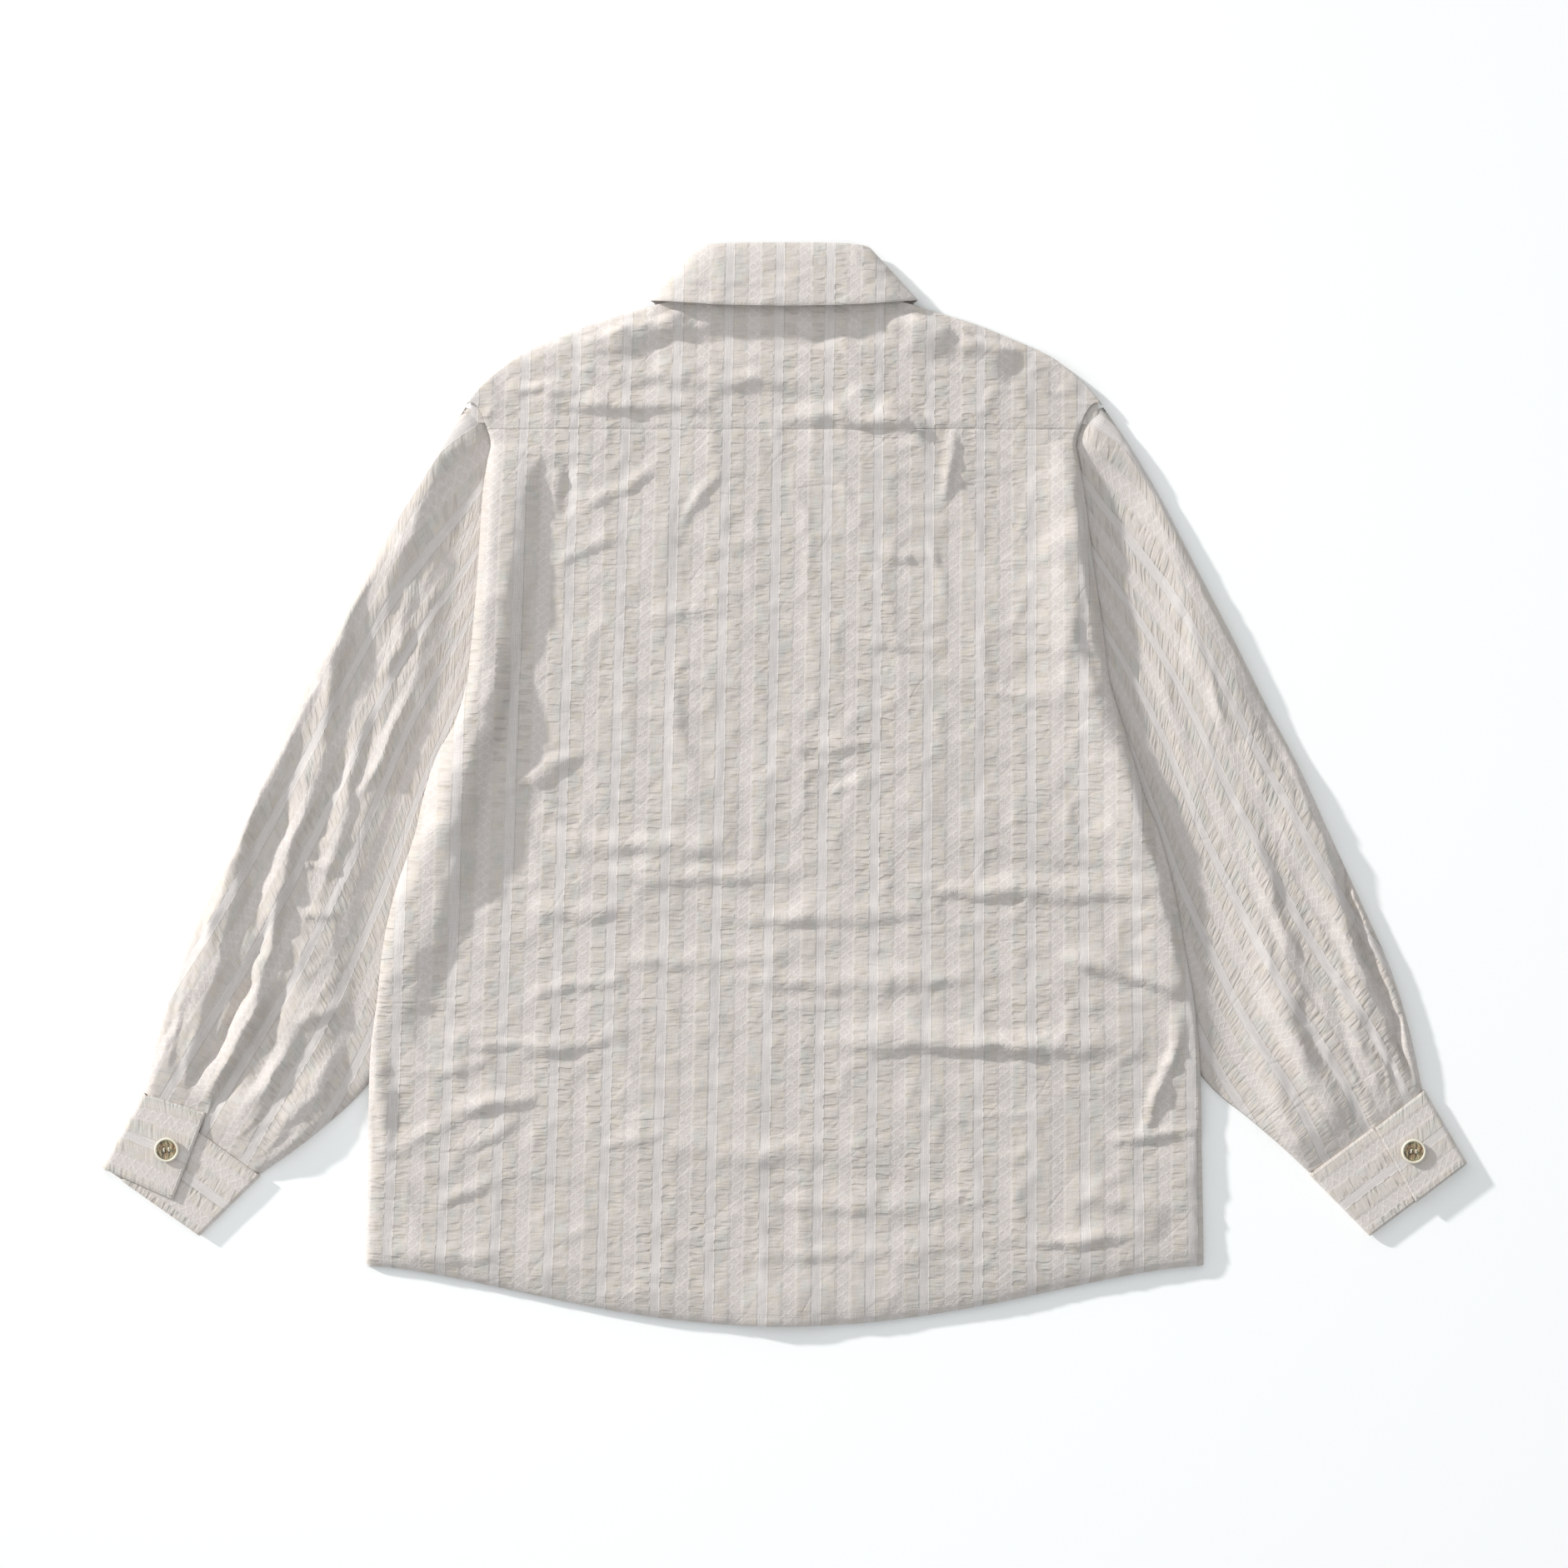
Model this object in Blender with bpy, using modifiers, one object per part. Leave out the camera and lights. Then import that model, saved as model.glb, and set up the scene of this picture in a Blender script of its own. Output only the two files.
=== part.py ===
"""Overshirt laid flat on its front, seen from its back: every cut piece is a shell of its own."""
import math

import bmesh
import bpy
import numpy as np
from mathutils import Matrix

MM = 0.001

# Cloth and seams
CLOTH = 1.2 * MM
CUFF_CLOTH = 2.0 * MM
SEAM = 0.3 * MM
SLOPE_STEP = 0.5 * MM

# What the body lies on
SLEEVE_UNDER = 5.0 * MM
BED_RAMP = 36.0 * MM
BED_MARGIN = 16.0 * MM
COLLAR_UNDER = 2.1 * MM
COLLAR_RAMP = 18.0 * MM
COLLAR_REACH_X = 104.0 * MM
COLLAR_REACH_Y = 256.0 * MM
BUTTON_UNDER = 3.4 * MM
BUTTON_RAMP = 30.0 * MM

# Front edges
FRONT_NEAR = (-16.0, -8.0, 0.0, 8.0, 16.0, 27.0, 40.0)
FRONT_LAP = 16.0 * MM
FRONT_LAP_RAMP = 30.0 * MM
FRONT_SIDE_INSET = 2.5 * MM
FRONT_TOP_INSET = 1.2 * MM
FRONT_HEM_INSET = 5.0 * MM

# Back and yoke
YOKE_SEAM_Y = 254.7 * MM
YOKE_SEAM_HALF = 0.25 * MM
BACK_LEVEL = 8.4 * MM
SIDE_ROLL = 11.0 * MM
HEM_ROLL = 26.0 * MM
HEM_DEPTH = 43.5 * MM
HEM_CORNER_Y = -346.0 * MM
HEM_HALF = 300.0 * MM
HEM_POWER = 1.65
HEM_LIFT = 0.35
NECK_OPEN = 60.0 * MM
NECK_HALF = 66.0 * MM
NECK_FADE = 34.0 * MM
SHOULDER_SLANT = 0.85
BACK_ROWS = 41
YOKE_ROWS = 9
FRONT_ROWS = 23

# Folds
FOLD_STEPS = 15
FOLD_TAPER = 0.6

# Sleeves
SLEEVE_OPEN = 11.0 * MM
SLEEVE_EDGE = 2.5 * MM
SLEEVE_ROLL = 9.0 * MM
SLEEVE_RISE = 24.0 * MM
SLEEVE_CLEAR = 12.0 * MM
ARMHOLE_BOW = 18.0 * MM
ARMHOLE_BOW_POWER = 0.45
ARMHOLE_BOW_REACH = 0.3
SLEEVE_RINGS = 25
VENT_PULL = 1.08
VENT_REACH = 0.2
VENT_END = 0.12
CUFF_REACH = 0.07

# Cuffs: middle of the cloth at each layer
CUFF_BOTTOM = 1.0 * MM
CUFF_INSIDE = 5.0 * MM
CUFF_FLAP = 7.6 * MM
CUFF_TUCK = 0.2
CUFF_ROWS = 4

# Buttons
BUTTON_RADIUS = 8.75 * MM
BUTTON_HEIGHT = 3.0 * MM
BUTTON_BEVEL = 0.7 * MM
BUTTON_RIM = 1.5 * MM
BUTTON_DISH = 0.8 * MM
BUTTON_HOLE = 0.85 * MM
BUTTON_HOLE_SPACING = 3.5 * MM
FRONT_BUTTON_TOP = 258.0 * MM
FRONT_BUTTON_STEP = 96.0 * MM
FRONT_BUTTONS = 6
CUFF_BUTTON_SIDES = 24
FRONT_BUTTON_SIDES = 15


def table(names, *rows):
    """Named columns in metres from rows in millimetres."""
    return dict(zip(names.split(), MM * np.array(rows, float).T))


# Side edges of the body from the shoulder tip to the hem
BODY_EDGE = table(
    "y      left   right",
    (-390, 300.5, 301.5),
    (-345, 300.3, 301.3),
    (-238, 298.0, 299.3),
    (-201, 297.0, 298.2),
    (-153, 291.5, 293.6),
    (-120, 288.0, 287.6),
    (-82, 280.0, 281.0),
    (-34, 264.0, 268.5),
    (-10, 258.6, 258.6),
    (20, 249.0, 249.6),
    (45, 235.5, 242.0),
    (76, 226.8, 232.8),
    (112, 223.0, 228.4),
    (159, 219.0, 221.6),
    (207, 216.0, 215.4),
    (232, 212.5, 211.0),
    (244, 210.0, 209.0),
    (252, 211.5, 210.5),
    (262, 217.0, 216.5),
    (271, 227.5, 228.0),
)

# Shoulder line from the neck to the tip, and the neckline of the yoke before it
YOKE_TOP = table(
    "x      y",
    (0, 350.0),
    (40, 350.0),
    (70, 349.5),
    (82, 347.0),
    (97, 342.2),
    (133.5, 331.5),
    (164, 319.5),
    (190, 307.5),
    (206, 295.5),
    (219, 283.5),
    (229, 271.0),
)

# Neckline and shoulder of a front
FRONT_TOP = table(
    "x      y",
    (0, 299.0),
    (25, 301.0),
    (45, 307.0),
    (62, 318.0),
    (75, 331.0),
    (86, 342.0),
    (97, 341.5),
    (133.5, 331.5),
    (164, 319.5),
    (190, 307.5),
    (206, 295.5),
    (219, 283.5),
    (229, 271.0),
)

# Outer edge of the sleeves from the shoulder tip to the cuff
SLEEVE_OUTER = table(
    "left_x  left_y  right_x  right_y",
    (229.0, 270.5, 229.5, 270.5),
    (252.0, 236.0, 253.0, 236.5),
    (274.5, 199.5, 273.5, 201.0),
    (300.0, 151.5, 297.5, 154.0),
    (325.5, 103.5, 323.0, 105.0),
    (350.0, 55.5, 347.5, 55.5),
    (373.0, 7.5, 371.5, 10.0),
    (396.5, -40.5, 393.5, -38.0),
    (417.0, -88.5, 416.5, -88.0),
    (436.0, -136.5, 437.5, -136.0),
    (451.0, -184.5, 451.5, -183.0),
    (459.7, -221.5, 459.2, -219.5),
)

# Inner edge of the sleeves from the hidden underarm to the cuff
SLEEVE_INNER = table(
    "left_x  left_y  right_x  right_y",
    (211.0, 40.0, 211.0, 40.0),
    (217.0, 5.0, 217.0, 5.0),
    (226.0, -30.0, 226.0, -30.0),
    (236.0, -66.0, 236.0, -66.0),
    (246.0, -100.0, 246.0, -100.0),
    (257.0, -134.0, 257.0, -134.0),
    (271.0, -166.0, 272.0, -166.0),
    (286.0, -197.0, 290.0, -196.0),
    (305.0, -222.5, 309.0, -219.8),
    (329.0, -245.0, 333.0, -239.5),
    (353.0, -264.0, 357.0, -260.0),
    (376.8, -280.6, 378.0, -279.6),
)

# Corners of the cuffs
CUFF_CORNER = table(
    "left_x  left_y  right_x  right_y",
    (460.0, -222.2, 459.6, -220.2),
    (489.6, -275.6, 490.4, -272.9),
    (377.2, -281.3, 378.4, -280.3),
    (420.8, -324.3, 421.9, -324.3),
    (415.2, -236.2, 424.6, -247.2),
    (438.8, -298.4, 453.9, -300.6),
)
OUTER_TOP, OUTER_BOTTOM, INNER_TOP, INNER_BOTTOM, FLAP_TOP, FLAP_BOTTOM = range(6)
CUFF_BUTTON = table("x y", (442.9, -262.4), (451.6, -263.5))

# Collar from the middle of the back to the front point: fold and edge of the fall, foot and top of the stand
COLLAR = table(
    "fold_x fold_y fold_z edge_x edge_y edge_z foot_x foot_y foot_z top_x  top_y  top_z",
    (0.0, 388.0, 11.5, 0.0, 342.0, 19.0, 0.0, 350.8, 8.6, 0.0, 386.0, 9.8),
    (25.0, 387.8, 11.5, 38.0, 342.6, 19.0, 30.0, 350.8, 8.6, 24.0, 385.8, 9.8),
    (45.0, 387.2, 11.2, 66.0, 344.0, 18.4, 56.0, 350.6, 8.2, 43.5, 385.2, 9.5),
    (57.0, 385.8, 9.2, 84.0, 345.6, 14.8, 72.0, 351.0, 7.0, 55.0, 383.8, 7.7),
    (62.0, 383.5, 5.6, 95.4, 346.8, 6.6, 78.5, 352.0, 4.9, 59.2, 381.8, 5.3),
    (58.0, 381.0, 2.2, 93.8, 346.6, 1.3, 74.5, 348.0, 3.6, 55.5, 379.5, 3.5),
    (50.0, 373.0, 1.3, 85.0, 320.0, 1.3, 66.5, 328.0, 2.9, 48.5, 371.5, 2.9),
    (38.0, 358.0, 1.3, 75.0, 298.0, 1.3, 48.0, 313.0, 2.9, 37.0, 357.0, 2.9),
    (24.0, 345.0, 1.3, 64.0, 281.0, 1.3, 30.0, 305.6, 2.9, 23.5, 344.0, 2.9),
    (10.0, 336.0, 1.3, 53.0, 267.0, 1.3, 10.0, 302.0, 2.9, 10.0, 335.0, 2.9),
)
COLLAR_STEPS = 2
COLLAR_SWELL = 1.2 * MM
COLLAR_LOW = 3.0 * MM
COLLAR_RISE = 6.0 * MM

# Swell of the fall from its fold to its edge: share of the way and share of the swell
COLLAR_ROLL = ((0.0, -0.9), (0.06, 0.25), (0.3, 1.0), (0.65, 0.6), (1.0, 0.0))

# Largest folds of the back and the yoke: crest from its start over its middle to its end
BODY_FOLDS = table(
    "from_x from_y via_x  via_y  to_x   to_y   height half",
    (-200, 292, -205, 90, -280, -150, 11.5, 32),
    (-178, -38, -100, -44, -20, -40, 4.5, 20),
    (-150, 272, -20, 274, 120, 262, 2.6, 28),
    (70, 322, 135, 318, 205, 292, 4.0, 20),
    (165, 160, 172, 95, 165, 30, 4.0, 44),
    (30, -58, 120, -70, 225, -64, 4.0, 20),
    (25, -168, 130, -182, 250, -176, 4.0, 22),
    (284, -150, 282, -210, 250, -262, 5.0, 24),
    (-286, -180, -287, -230, -276, -290, 4.5, 24),
    (-250, -172, -190, -182, -110, -176, 3.5, 20),
    (140, -268, 200, -276, 262, -310, 3.5, 24),
    (-60, 130, -20, 60, 40, 40, 3.0, 34),
    (-150, -262, -60, -285, 60, -270, 2.5, 28),
)

# Largest folds of the sleeves, left and right
SLEEVE_LEFT_FOLDS = table(
    "from_x from_y via_x  via_y  to_x   to_y   height half",
    (-385, -10, -400, -110, -443, -232, 5.0, 16),
    (-292, 150, -352, -20, -420, -240, 9.0, 17),
    (-250, 215, -285, 150, -322, 70, 4.5, 20),
    (-300, 20, -320, -60, -350, -150, 3.0, 20),
    (-318, -190, -345, -215, -380, -262, 3.5, 18),
)
SLEEVE_RIGHT_FOLDS = table(
    "from_x from_y via_x  via_y  to_x   to_y   height half",
    (352, 20, 400, -105, 441, -222, 6.0, 17),
    (318, -40, 350, -150, 402, -252, 5.0, 18),
    (262, 180, 300, 100, 345, 10, 4.0, 20),
    (270, 90, 300, 20, 322, -80, 3.5, 16),
    (310, -120, 322, -170, 360, -240, 3.5, 16),
)

# Shares of the way across, closer together where a piece rolls over
BODY_ACROSS = (0.0, 0.006, 0.02, 0.045, 0.08, 0.125, 0.18, 0.245, 0.32, 0.40, 0.485, 0.575, 0.67, 0.775, 0.885)
FRONT_ACROSS = (0.08, 0.17, 0.28, 0.42, 0.57, 0.71, 0.83, 0.92, 0.975, 1.0)
SLEEVE_TOP_ACROSS = (0.0, 0.02, 0.06, 0.12, 0.18, 0.24, 0.3, 0.36, 0.43, 0.51, 0.6, 0.72, 0.85, 0.955, 0.99)
SLEEVE_BOTTOM_ACROSS = (1.0, 0.96, 0.75, 0.45, 0.15, 0.03)

MATERIALS = {
    "body_cloth": ((0.61, 0.57, 0.54), 0.88),
    "sleeve_cloth": ((0.60, 0.56, 0.53), 0.88),
    "collar_cloth": ((0.62, 0.58, 0.55), 0.88),
    "cuff_cloth": ((0.62, 0.58, 0.55), 0.88),
    "button_horn": ((0.36, 0.29, 0.20), 0.35),
}


def clear_scene():
    for obj in list(bpy.data.objects):
        bpy.data.objects.remove(obj, do_unlink=True)


def make_collection(name):
    collection = bpy.data.collections.new(name)
    bpy.context.scene.collection.children.link(collection)
    return collection


def make_materials():
    made = {}
    for name, (colour, roughness) in MATERIALS.items():
        material = bpy.data.materials.new(name)
        material.use_nodes = True
        shader = material.node_tree.nodes["Principled BSDF"]
        shader.inputs["Base Color"].default_value = (*colour, 1.0)
        shader.inputs["Roughness"].default_value = roughness
        shader.inputs["Metallic"].default_value = 0.0
        made[name] = material
    return made


def smooth_step(value):
    part = np.clip(value, 0.0, 1.0)
    return part * part * (3.0 - 2.0 * part)


def spread(count):
    return np.linspace(0.0, 1.0, count)


def quarter_round(part):
    """Height of a rounded edge, from 0 at the edge to 1 where the roll ends."""
    rest = 1.0 - np.clip(part, 0.0, 1.0)
    return np.sqrt(np.maximum(0.0, 1.0 - rest * rest))


def through(xs, ys, x):
    """Smooth curve through the points, with no overshoot between them."""
    run = np.diff(xs)
    slope = np.diff(ys) / run
    both = slope[1:] * slope[:-1]
    total = np.where(both > 0, slope[1:] + slope[:-1], 1.0)
    middle = np.where(both > 0, 2 * both / total, 0.0)
    tangent = np.concatenate([slope[:1], middle, slope[-1:]])
    x = np.clip(x, xs[0], xs[-1])
    i = np.clip(np.searchsorted(xs, x) - 1, 0, len(run) - 1)
    t = (x - xs[i]) / run[i]
    rise = ys[i + 1] - ys[i]
    first, last = tangent[i] * run[i], tangent[i + 1] * run[i]
    return ys[i] + t * (first + t * (3 * rise - 2 * first - last + t * (first + last - 2 * rise)))


def body_edge(x, y):
    """Distance of the body's side edge from the middle, on the side where x is."""
    left = through(BODY_EDGE["y"], BODY_EDGE["left"], y)
    right = through(BODY_EDGE["y"], BODY_EDGE["right"], y)
    return np.where(x < 0, left, right)


def hem_y(x):
    inside = np.maximum(0.0, 1.0 - (x / HEM_HALF) ** 2)
    return HEM_CORNER_Y - HEM_DEPTH * inside**HEM_POWER


def yoke_top_y(x):
    return through(YOKE_TOP["x"], YOKE_TOP["y"], np.abs(x))


def front_top_y(x):
    return through(FRONT_TOP["x"], FRONT_TOP["y"], np.abs(x)) - FRONT_TOP_INSET


def armhole_x(y):
    """Distance of the armhole seam from the middle, level with y, and of the hidden sleeve edge below it."""
    top_x, top_y = SLEEVE_OUTER["left_x"][0], SLEEVE_OUTER["left_y"][0]
    low_x, low_y = SLEEVE_INNER["left_x"][0], SLEEVE_INNER["left_y"][0]
    down = np.clip((top_y - y) / (top_y - low_y), 0.0, 1.0)
    seam = top_x + (low_x - top_x) * down - armhole_bow(down)
    below = through(-SLEEVE_INNER["left_y"], SLEEVE_INNER["left_x"], -y)
    return np.where(y > low_y, seam, below)


def armhole_bow(down):
    return ARMHOLE_BOW * np.sin(math.pi * down**ARMHOLE_BOW_POWER)


def bed(x, y):
    """Underside of the fronts: the surface, or what lies between it and them."""
    sleeve = SLEEVE_UNDER + 2 * SEAM
    over_sleeve = sleeve * smooth_step(1.0 + (np.abs(x) - armhole_x(y) + BED_MARGIN) / BED_RAMP)
    collar_x = smooth_step(1.0 - (np.abs(x) - COLLAR_REACH_X) / COLLAR_RAMP)
    collar_y = smooth_step(1.0 + (y - COLLAR_REACH_Y) / COLLAR_RAMP)
    over_collar = COLLAR_UNDER * collar_x * collar_y
    over_buttons = BUTTON_UNDER * smooth_step(1.0 - (np.abs(x) - BUTTON_RADIUS - MM) / BUTTON_RAMP)
    return np.maximum(np.maximum(over_sleeve, over_collar), over_buttons)


def slope_of(height, x, y):
    across = (height(x + SLOPE_STEP, y) - height(x - SLOPE_STEP, y)) / (2 * SLOPE_STEP)
    along = (height(x, y + SLOPE_STEP) - height(x, y - SLOPE_STEP)) / (2 * SLOPE_STEP)
    return np.sqrt(1.0 + across**2 + along**2)


def over_front(x, y):
    """Height that clears one layer of the fronts."""
    return bed(x, y) + CLOTH * slope_of(bed, x, y) + SEAM


def lap(x):
    """Share of the second front layer, which is whole where the fronts overlap."""
    return smooth_step(1.0 - (np.abs(x) - FRONT_LAP - MM) / FRONT_LAP_RAMP)


def right_front_under(x, y):
    return bed(x, y) + (over_front(x, y) - bed(x, y)) * lap(x)


def over_fronts(x, y):
    return over_front(x, y) + (CLOTH + SEAM) * lap(x)


def fold_height(folds, x, y):
    """Sum of soft ridges, each highest along its middle and tapered to its ends."""
    total = np.zeros_like(x)
    steps = spread(FOLD_STEPS)
    for row in zip(*folds.values()):
        from_x, from_y, via_x, via_y, to_x, to_y, height, half = row
        crest_x = (1 - steps) ** 2 * from_x + 2 * steps * (1 - steps) * via_x + steps**2 * to_x
        crest_y = (1 - steps) ** 2 * from_y + 2 * steps * (1 - steps) * via_y + steps**2 * to_y
        best = np.full_like(x, 1e9)
        at = np.zeros_like(x)
        for k in range(len(steps) - 1):
            run_x, run_y = crest_x[k + 1] - crest_x[k], crest_y[k + 1] - crest_y[k]
            part = ((x - crest_x[k]) * run_x + (y - crest_y[k]) * run_y) / (run_x**2 + run_y**2)
            part = np.clip(part, 0.0, 1.0)
            far = np.hypot(x - crest_x[k] - part * run_x, y - crest_y[k] - part * run_y)
            nearer = far < best
            best = np.where(nearer, far, best)
            at = np.where(nearer, steps[k] + part / (len(steps) - 1), at)
        across = np.cos(0.5 * math.pi * np.clip(best / half, 0.0, 1.0)) ** 2
        total += height * across * np.sin(math.pi * np.clip(at, 0.0, 1.0)) ** FOLD_TAPER
    return total


def back_under(x, y):
    """Underside of the back and the yoke, lying on the fronts and rolled down at its edges."""
    side = quarter_round((body_edge(x, y) - np.abs(x)) / SIDE_ROLL)
    neck = NECK_OPEN * (1.0 - smooth_step((np.abs(x) - NECK_HALF) / NECK_FADE))
    shoulder = quarter_round((SHOULDER_SLANT * (yoke_top_y(x) - y) + neck) / SIDE_ROLL)
    hem = HEM_LIFT + (1.0 - HEM_LIFT) * quarter_round((y - hem_y(x)) / HEM_ROLL)
    low = over_fronts(x, y)
    air = np.maximum(0.0, BACK_LEVEL - low + fold_height(BODY_FOLDS, x, y))
    return low + air * np.minimum(side, shoulder) * hem


def sleeve_folds(x, y):
    left = fold_height(SLEEVE_LEFT_FOLDS, x, y)
    right = fold_height(SLEEVE_RIGHT_FOLDS, x, y)
    return np.where(x < 0, left, right)


def along_curve(xs, ys, share):
    run = np.concatenate([[0.0], np.cumsum(np.hypot(np.diff(xs), np.diff(ys)))])
    run = run / run[-1]
    return through(run, xs, share), through(run, ys, share)


def sleeve_point(side, along, across, top):
    """Plan position on a sleeve: along it from armhole to cuff, across it from outer to inner edge."""
    outer_x, outer_y = along_curve(SLEEVE_OUTER[side + "_x"], SLEEVE_OUTER[side + "_y"], along)
    inner_x, inner_y = along_curve(SLEEVE_INNER[side + "_x"], SLEEVE_INNER[side + "_y"], along)
    x = outer_x + (inner_x - outer_x) * across
    y = outer_y + (inner_y - outer_y) * across
    x = x - armhole_bow(across) * (1.0 - smooth_step(along / ARMHOLE_BOW_REACH))
    if top:
        shift_x, shift_y = vent_shift(side, across)
        near_cuff = smooth_step((along - 1.0 + VENT_REACH) / VENT_REACH) ** 2
        x = x + shift_x * near_cuff
        y = y + shift_y * near_cuff
    return x, y


def vent_shift(side, across):
    """How far the flap pulls the upper layer of the sleeve away from the straight cuff seam."""
    corner_x, corner_y = CUFF_CORNER[side + "_x"], CUFF_CORNER[side + "_y"]
    end = flap_share(side)
    on_x = corner_x[OUTER_TOP] + (corner_x[INNER_TOP] - corner_x[OUTER_TOP]) * end
    on_y = corner_y[OUTER_TOP] + (corner_y[INNER_TOP] - corner_y[OUTER_TOP]) * end
    pull = VENT_PULL * np.clip(np.minimum(across / end, 1.0 - (across - end) / VENT_END), 0.0, 1.0)
    return (corner_x[FLAP_TOP] - on_x) * pull, (corner_y[FLAP_TOP] - on_y) * pull


def flap_share(side):
    """Where the end of the flap falls, as a share of the cuff's width."""
    corner_x, corner_y = CUFF_CORNER[side + "_x"], CUFF_CORNER[side + "_y"]
    run_x, run_y = corner_x[INNER_TOP] - corner_x[OUTER_TOP], corner_y[INNER_TOP] - corner_y[OUTER_TOP]
    far_x, far_y = corner_x[FLAP_TOP] - corner_x[OUTER_TOP], corner_y[FLAP_TOP] - corner_y[OUTER_TOP]
    return (far_x * run_x + far_y * run_y) / (run_x**2 + run_y**2)


def sleeve_height(side, along, across, x, y):
    """Upper surface of a sleeve: thin beneath the body, fuller beside it."""
    sign = -1.0 if side == "left" else 1.0
    beside = smooth_step((x - body_edge(sign * x, y) - SLEEVE_CLEAR) / SLEEVE_RISE)
    full = SLEEVE_OPEN - SLEEVE_UNDER + sleeve_folds(sign * x, y)
    near_cuff = smooth_step((along - 1.0 + CUFF_REACH) / CUFF_REACH)
    full = full * (1.0 - near_cuff) + (CUFF_FLAP + CUFF_BOTTOM - SLEEVE_UNDER) * near_cuff
    height = SLEEVE_UNDER + beside * full
    outer_x, outer_y = along_curve(SLEEVE_OUTER[side + "_x"], SLEEVE_OUTER[side + "_y"], along)
    inner_x, inner_y = along_curve(SLEEVE_INNER[side + "_x"], SLEEVE_INNER[side + "_y"], along)
    width = np.hypot(inner_x - outer_x, inner_y - outer_y)
    edge = np.minimum(across, 1.0 - across) * width
    return SLEEVE_EDGE + (height - SLEEVE_EDGE) * quarter_round(edge / SLEEVE_ROLL)


def shell(name, points, material, thickness, offset=1.0, ring=False, flip=False):
    """Solid sheet from a grid of points; a ring closes each row on itself."""
    rows, columns = len(points), len(points[0])
    faces = []
    for r in range(rows - 1):
        for c in range(columns if ring else columns - 1):
            d = (c + 1) % columns
            face = (r * columns + c, r * columns + d, (r + 1) * columns + d, (r + 1) * columns + c)
            faces.append(face[::-1] if flip else face)
    mesh = bpy.data.meshes.new(name)
    mesh.from_pydata([tuple(map(float, p)) for row in points for p in row], [], faces)
    mesh.materials.append(material)
    obj = bpy.data.objects.new(name, mesh)
    parts.objects.link(obj)
    solid = obj.modifiers.new("Cloth", "SOLIDIFY")
    solid.thickness = thickness
    solid.offset = offset
    solid.use_even_offset = True
    solid.use_quality_normals = True
    return obj


def body_shares():
    half = np.array(BODY_ACROSS)
    return np.concatenate([-1.0 + half, [0.0], 1.0 - half[::-1]])


def make_back():
    points = []
    shares = body_shares()
    for v in spread(BACK_ROWS):
        y = np.full_like(shares, HEM_CORNER_Y + v * (YOKE_SEAM_Y - HEM_CORNER_Y))
        for _ in range(6):
            x = shares * body_edge(shares, y)
            y = hem_y(x) + v * (YOKE_SEAM_Y - YOKE_SEAM_HALF - hem_y(x))
        points.append(np.stack([x, y, back_under(x, y)], 1))
    shell("back", points, materials["body_cloth"], CLOTH)


def make_yoke():
    points = []
    shares = body_shares()
    low = body_edge(shares, np.full_like(shares, YOKE_SEAM_Y))
    tip = body_edge(shares, np.full_like(shares, YOKE_TOP["y"][-1]))
    for v in spread(YOKE_ROWS):
        x = shares * (low + (tip - low) * v)
        y = YOKE_SEAM_Y + YOKE_SEAM_HALF + v * (yoke_top_y(x) - YOKE_SEAM_Y - YOKE_SEAM_HALF)
        points.append(np.stack([x, y, back_under(x, y)], 1))
    shell("yoke", points, materials["body_cloth"], CLOTH)


def make_front(name, sign):
    """A front from its button edge to its side edge."""
    under = bed if sign < 0 else right_front_under
    near = MM * np.array(FRONT_NEAR)
    shares = np.array(FRONT_ACROSS)
    points = []
    for v in spread(FRONT_ROWS):
        y = np.full(len(near) + len(shares), HEM_CORNER_Y + v * (YOKE_SEAM_Y - HEM_CORNER_Y))
        for _ in range(8):
            side = body_edge(np.full_like(y, sign), y)[len(near) :] - FRONT_SIDE_INSET
            x = sign * np.concatenate([near, near[-1] + (side - near[-1]) * shares])
            low = hem_y(x) + FRONT_HEM_INSET
            y = low + v * (front_top_y(x) - low)
        points.append(np.stack([x, y, under(x, y)], 1))
    shell(name, points, materials["body_cloth"], CLOTH, flip=sign < 0)


def make_sleeve(side):
    sign = -1.0 if side == "left" else 1.0
    top, bottom = np.array(SLEEVE_TOP_ACROSS), np.array(SLEEVE_BOTTOM_ACROSS)
    points = []
    for along in spread(SLEEVE_RINGS):
        x, y = sleeve_point(side, along, top, True)
        z = sleeve_height(side, along, top, x, y)
        low_x, low_y = sleeve_point(side, along, bottom, False)
        low_z = np.where(bottom == 1.0, SLEEVE_EDGE, 0.0)
        upper = np.stack([sign * x, y, z], 1)
        lower = np.stack([sign * low_x, low_y, low_z], 1)
        points.append(np.concatenate([upper, lower]))
    shell("sleeve_" + side, points, materials["sleeve_cloth"], CLOTH, offset=-1.0, ring=True, flip=sign < 0)


def cuff_section(side):
    """Path round a cuff from the tucked end to the end of the flap: share of the width and height."""
    inner_round = (CUFF_INSIDE - CUFF_BOTTOM) / 2
    outer_round = (CUFF_FLAP - CUFF_BOTTOM) / 2
    path = [(share, 0.0, CUFF_INSIDE) for share in (CUFF_TUCK, 0.42, 0.64, 0.84)]
    for angle in np.linspace(0.5, -0.5, 5) * math.pi:
        height = CUFF_BOTTOM + inner_round * (1.0 + math.sin(angle))
        path.append((1.0, inner_round * (math.cos(angle) - 1.0), height))
    path += [(share, 0.0, CUFF_BOTTOM) for share in (0.8, 0.5, 0.2)]
    for angle in np.linspace(-0.5, -1.5, 6) * math.pi:
        height = CUFF_BOTTOM + outer_round * (1.0 + math.sin(angle))
        path.append((0.0, outer_round * (1.0 + math.cos(angle)), height))
    path += [(share * flap_share(side), 0.0, CUFF_FLAP) for share in (0.4, 0.7, 1.0)]
    return path


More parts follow.
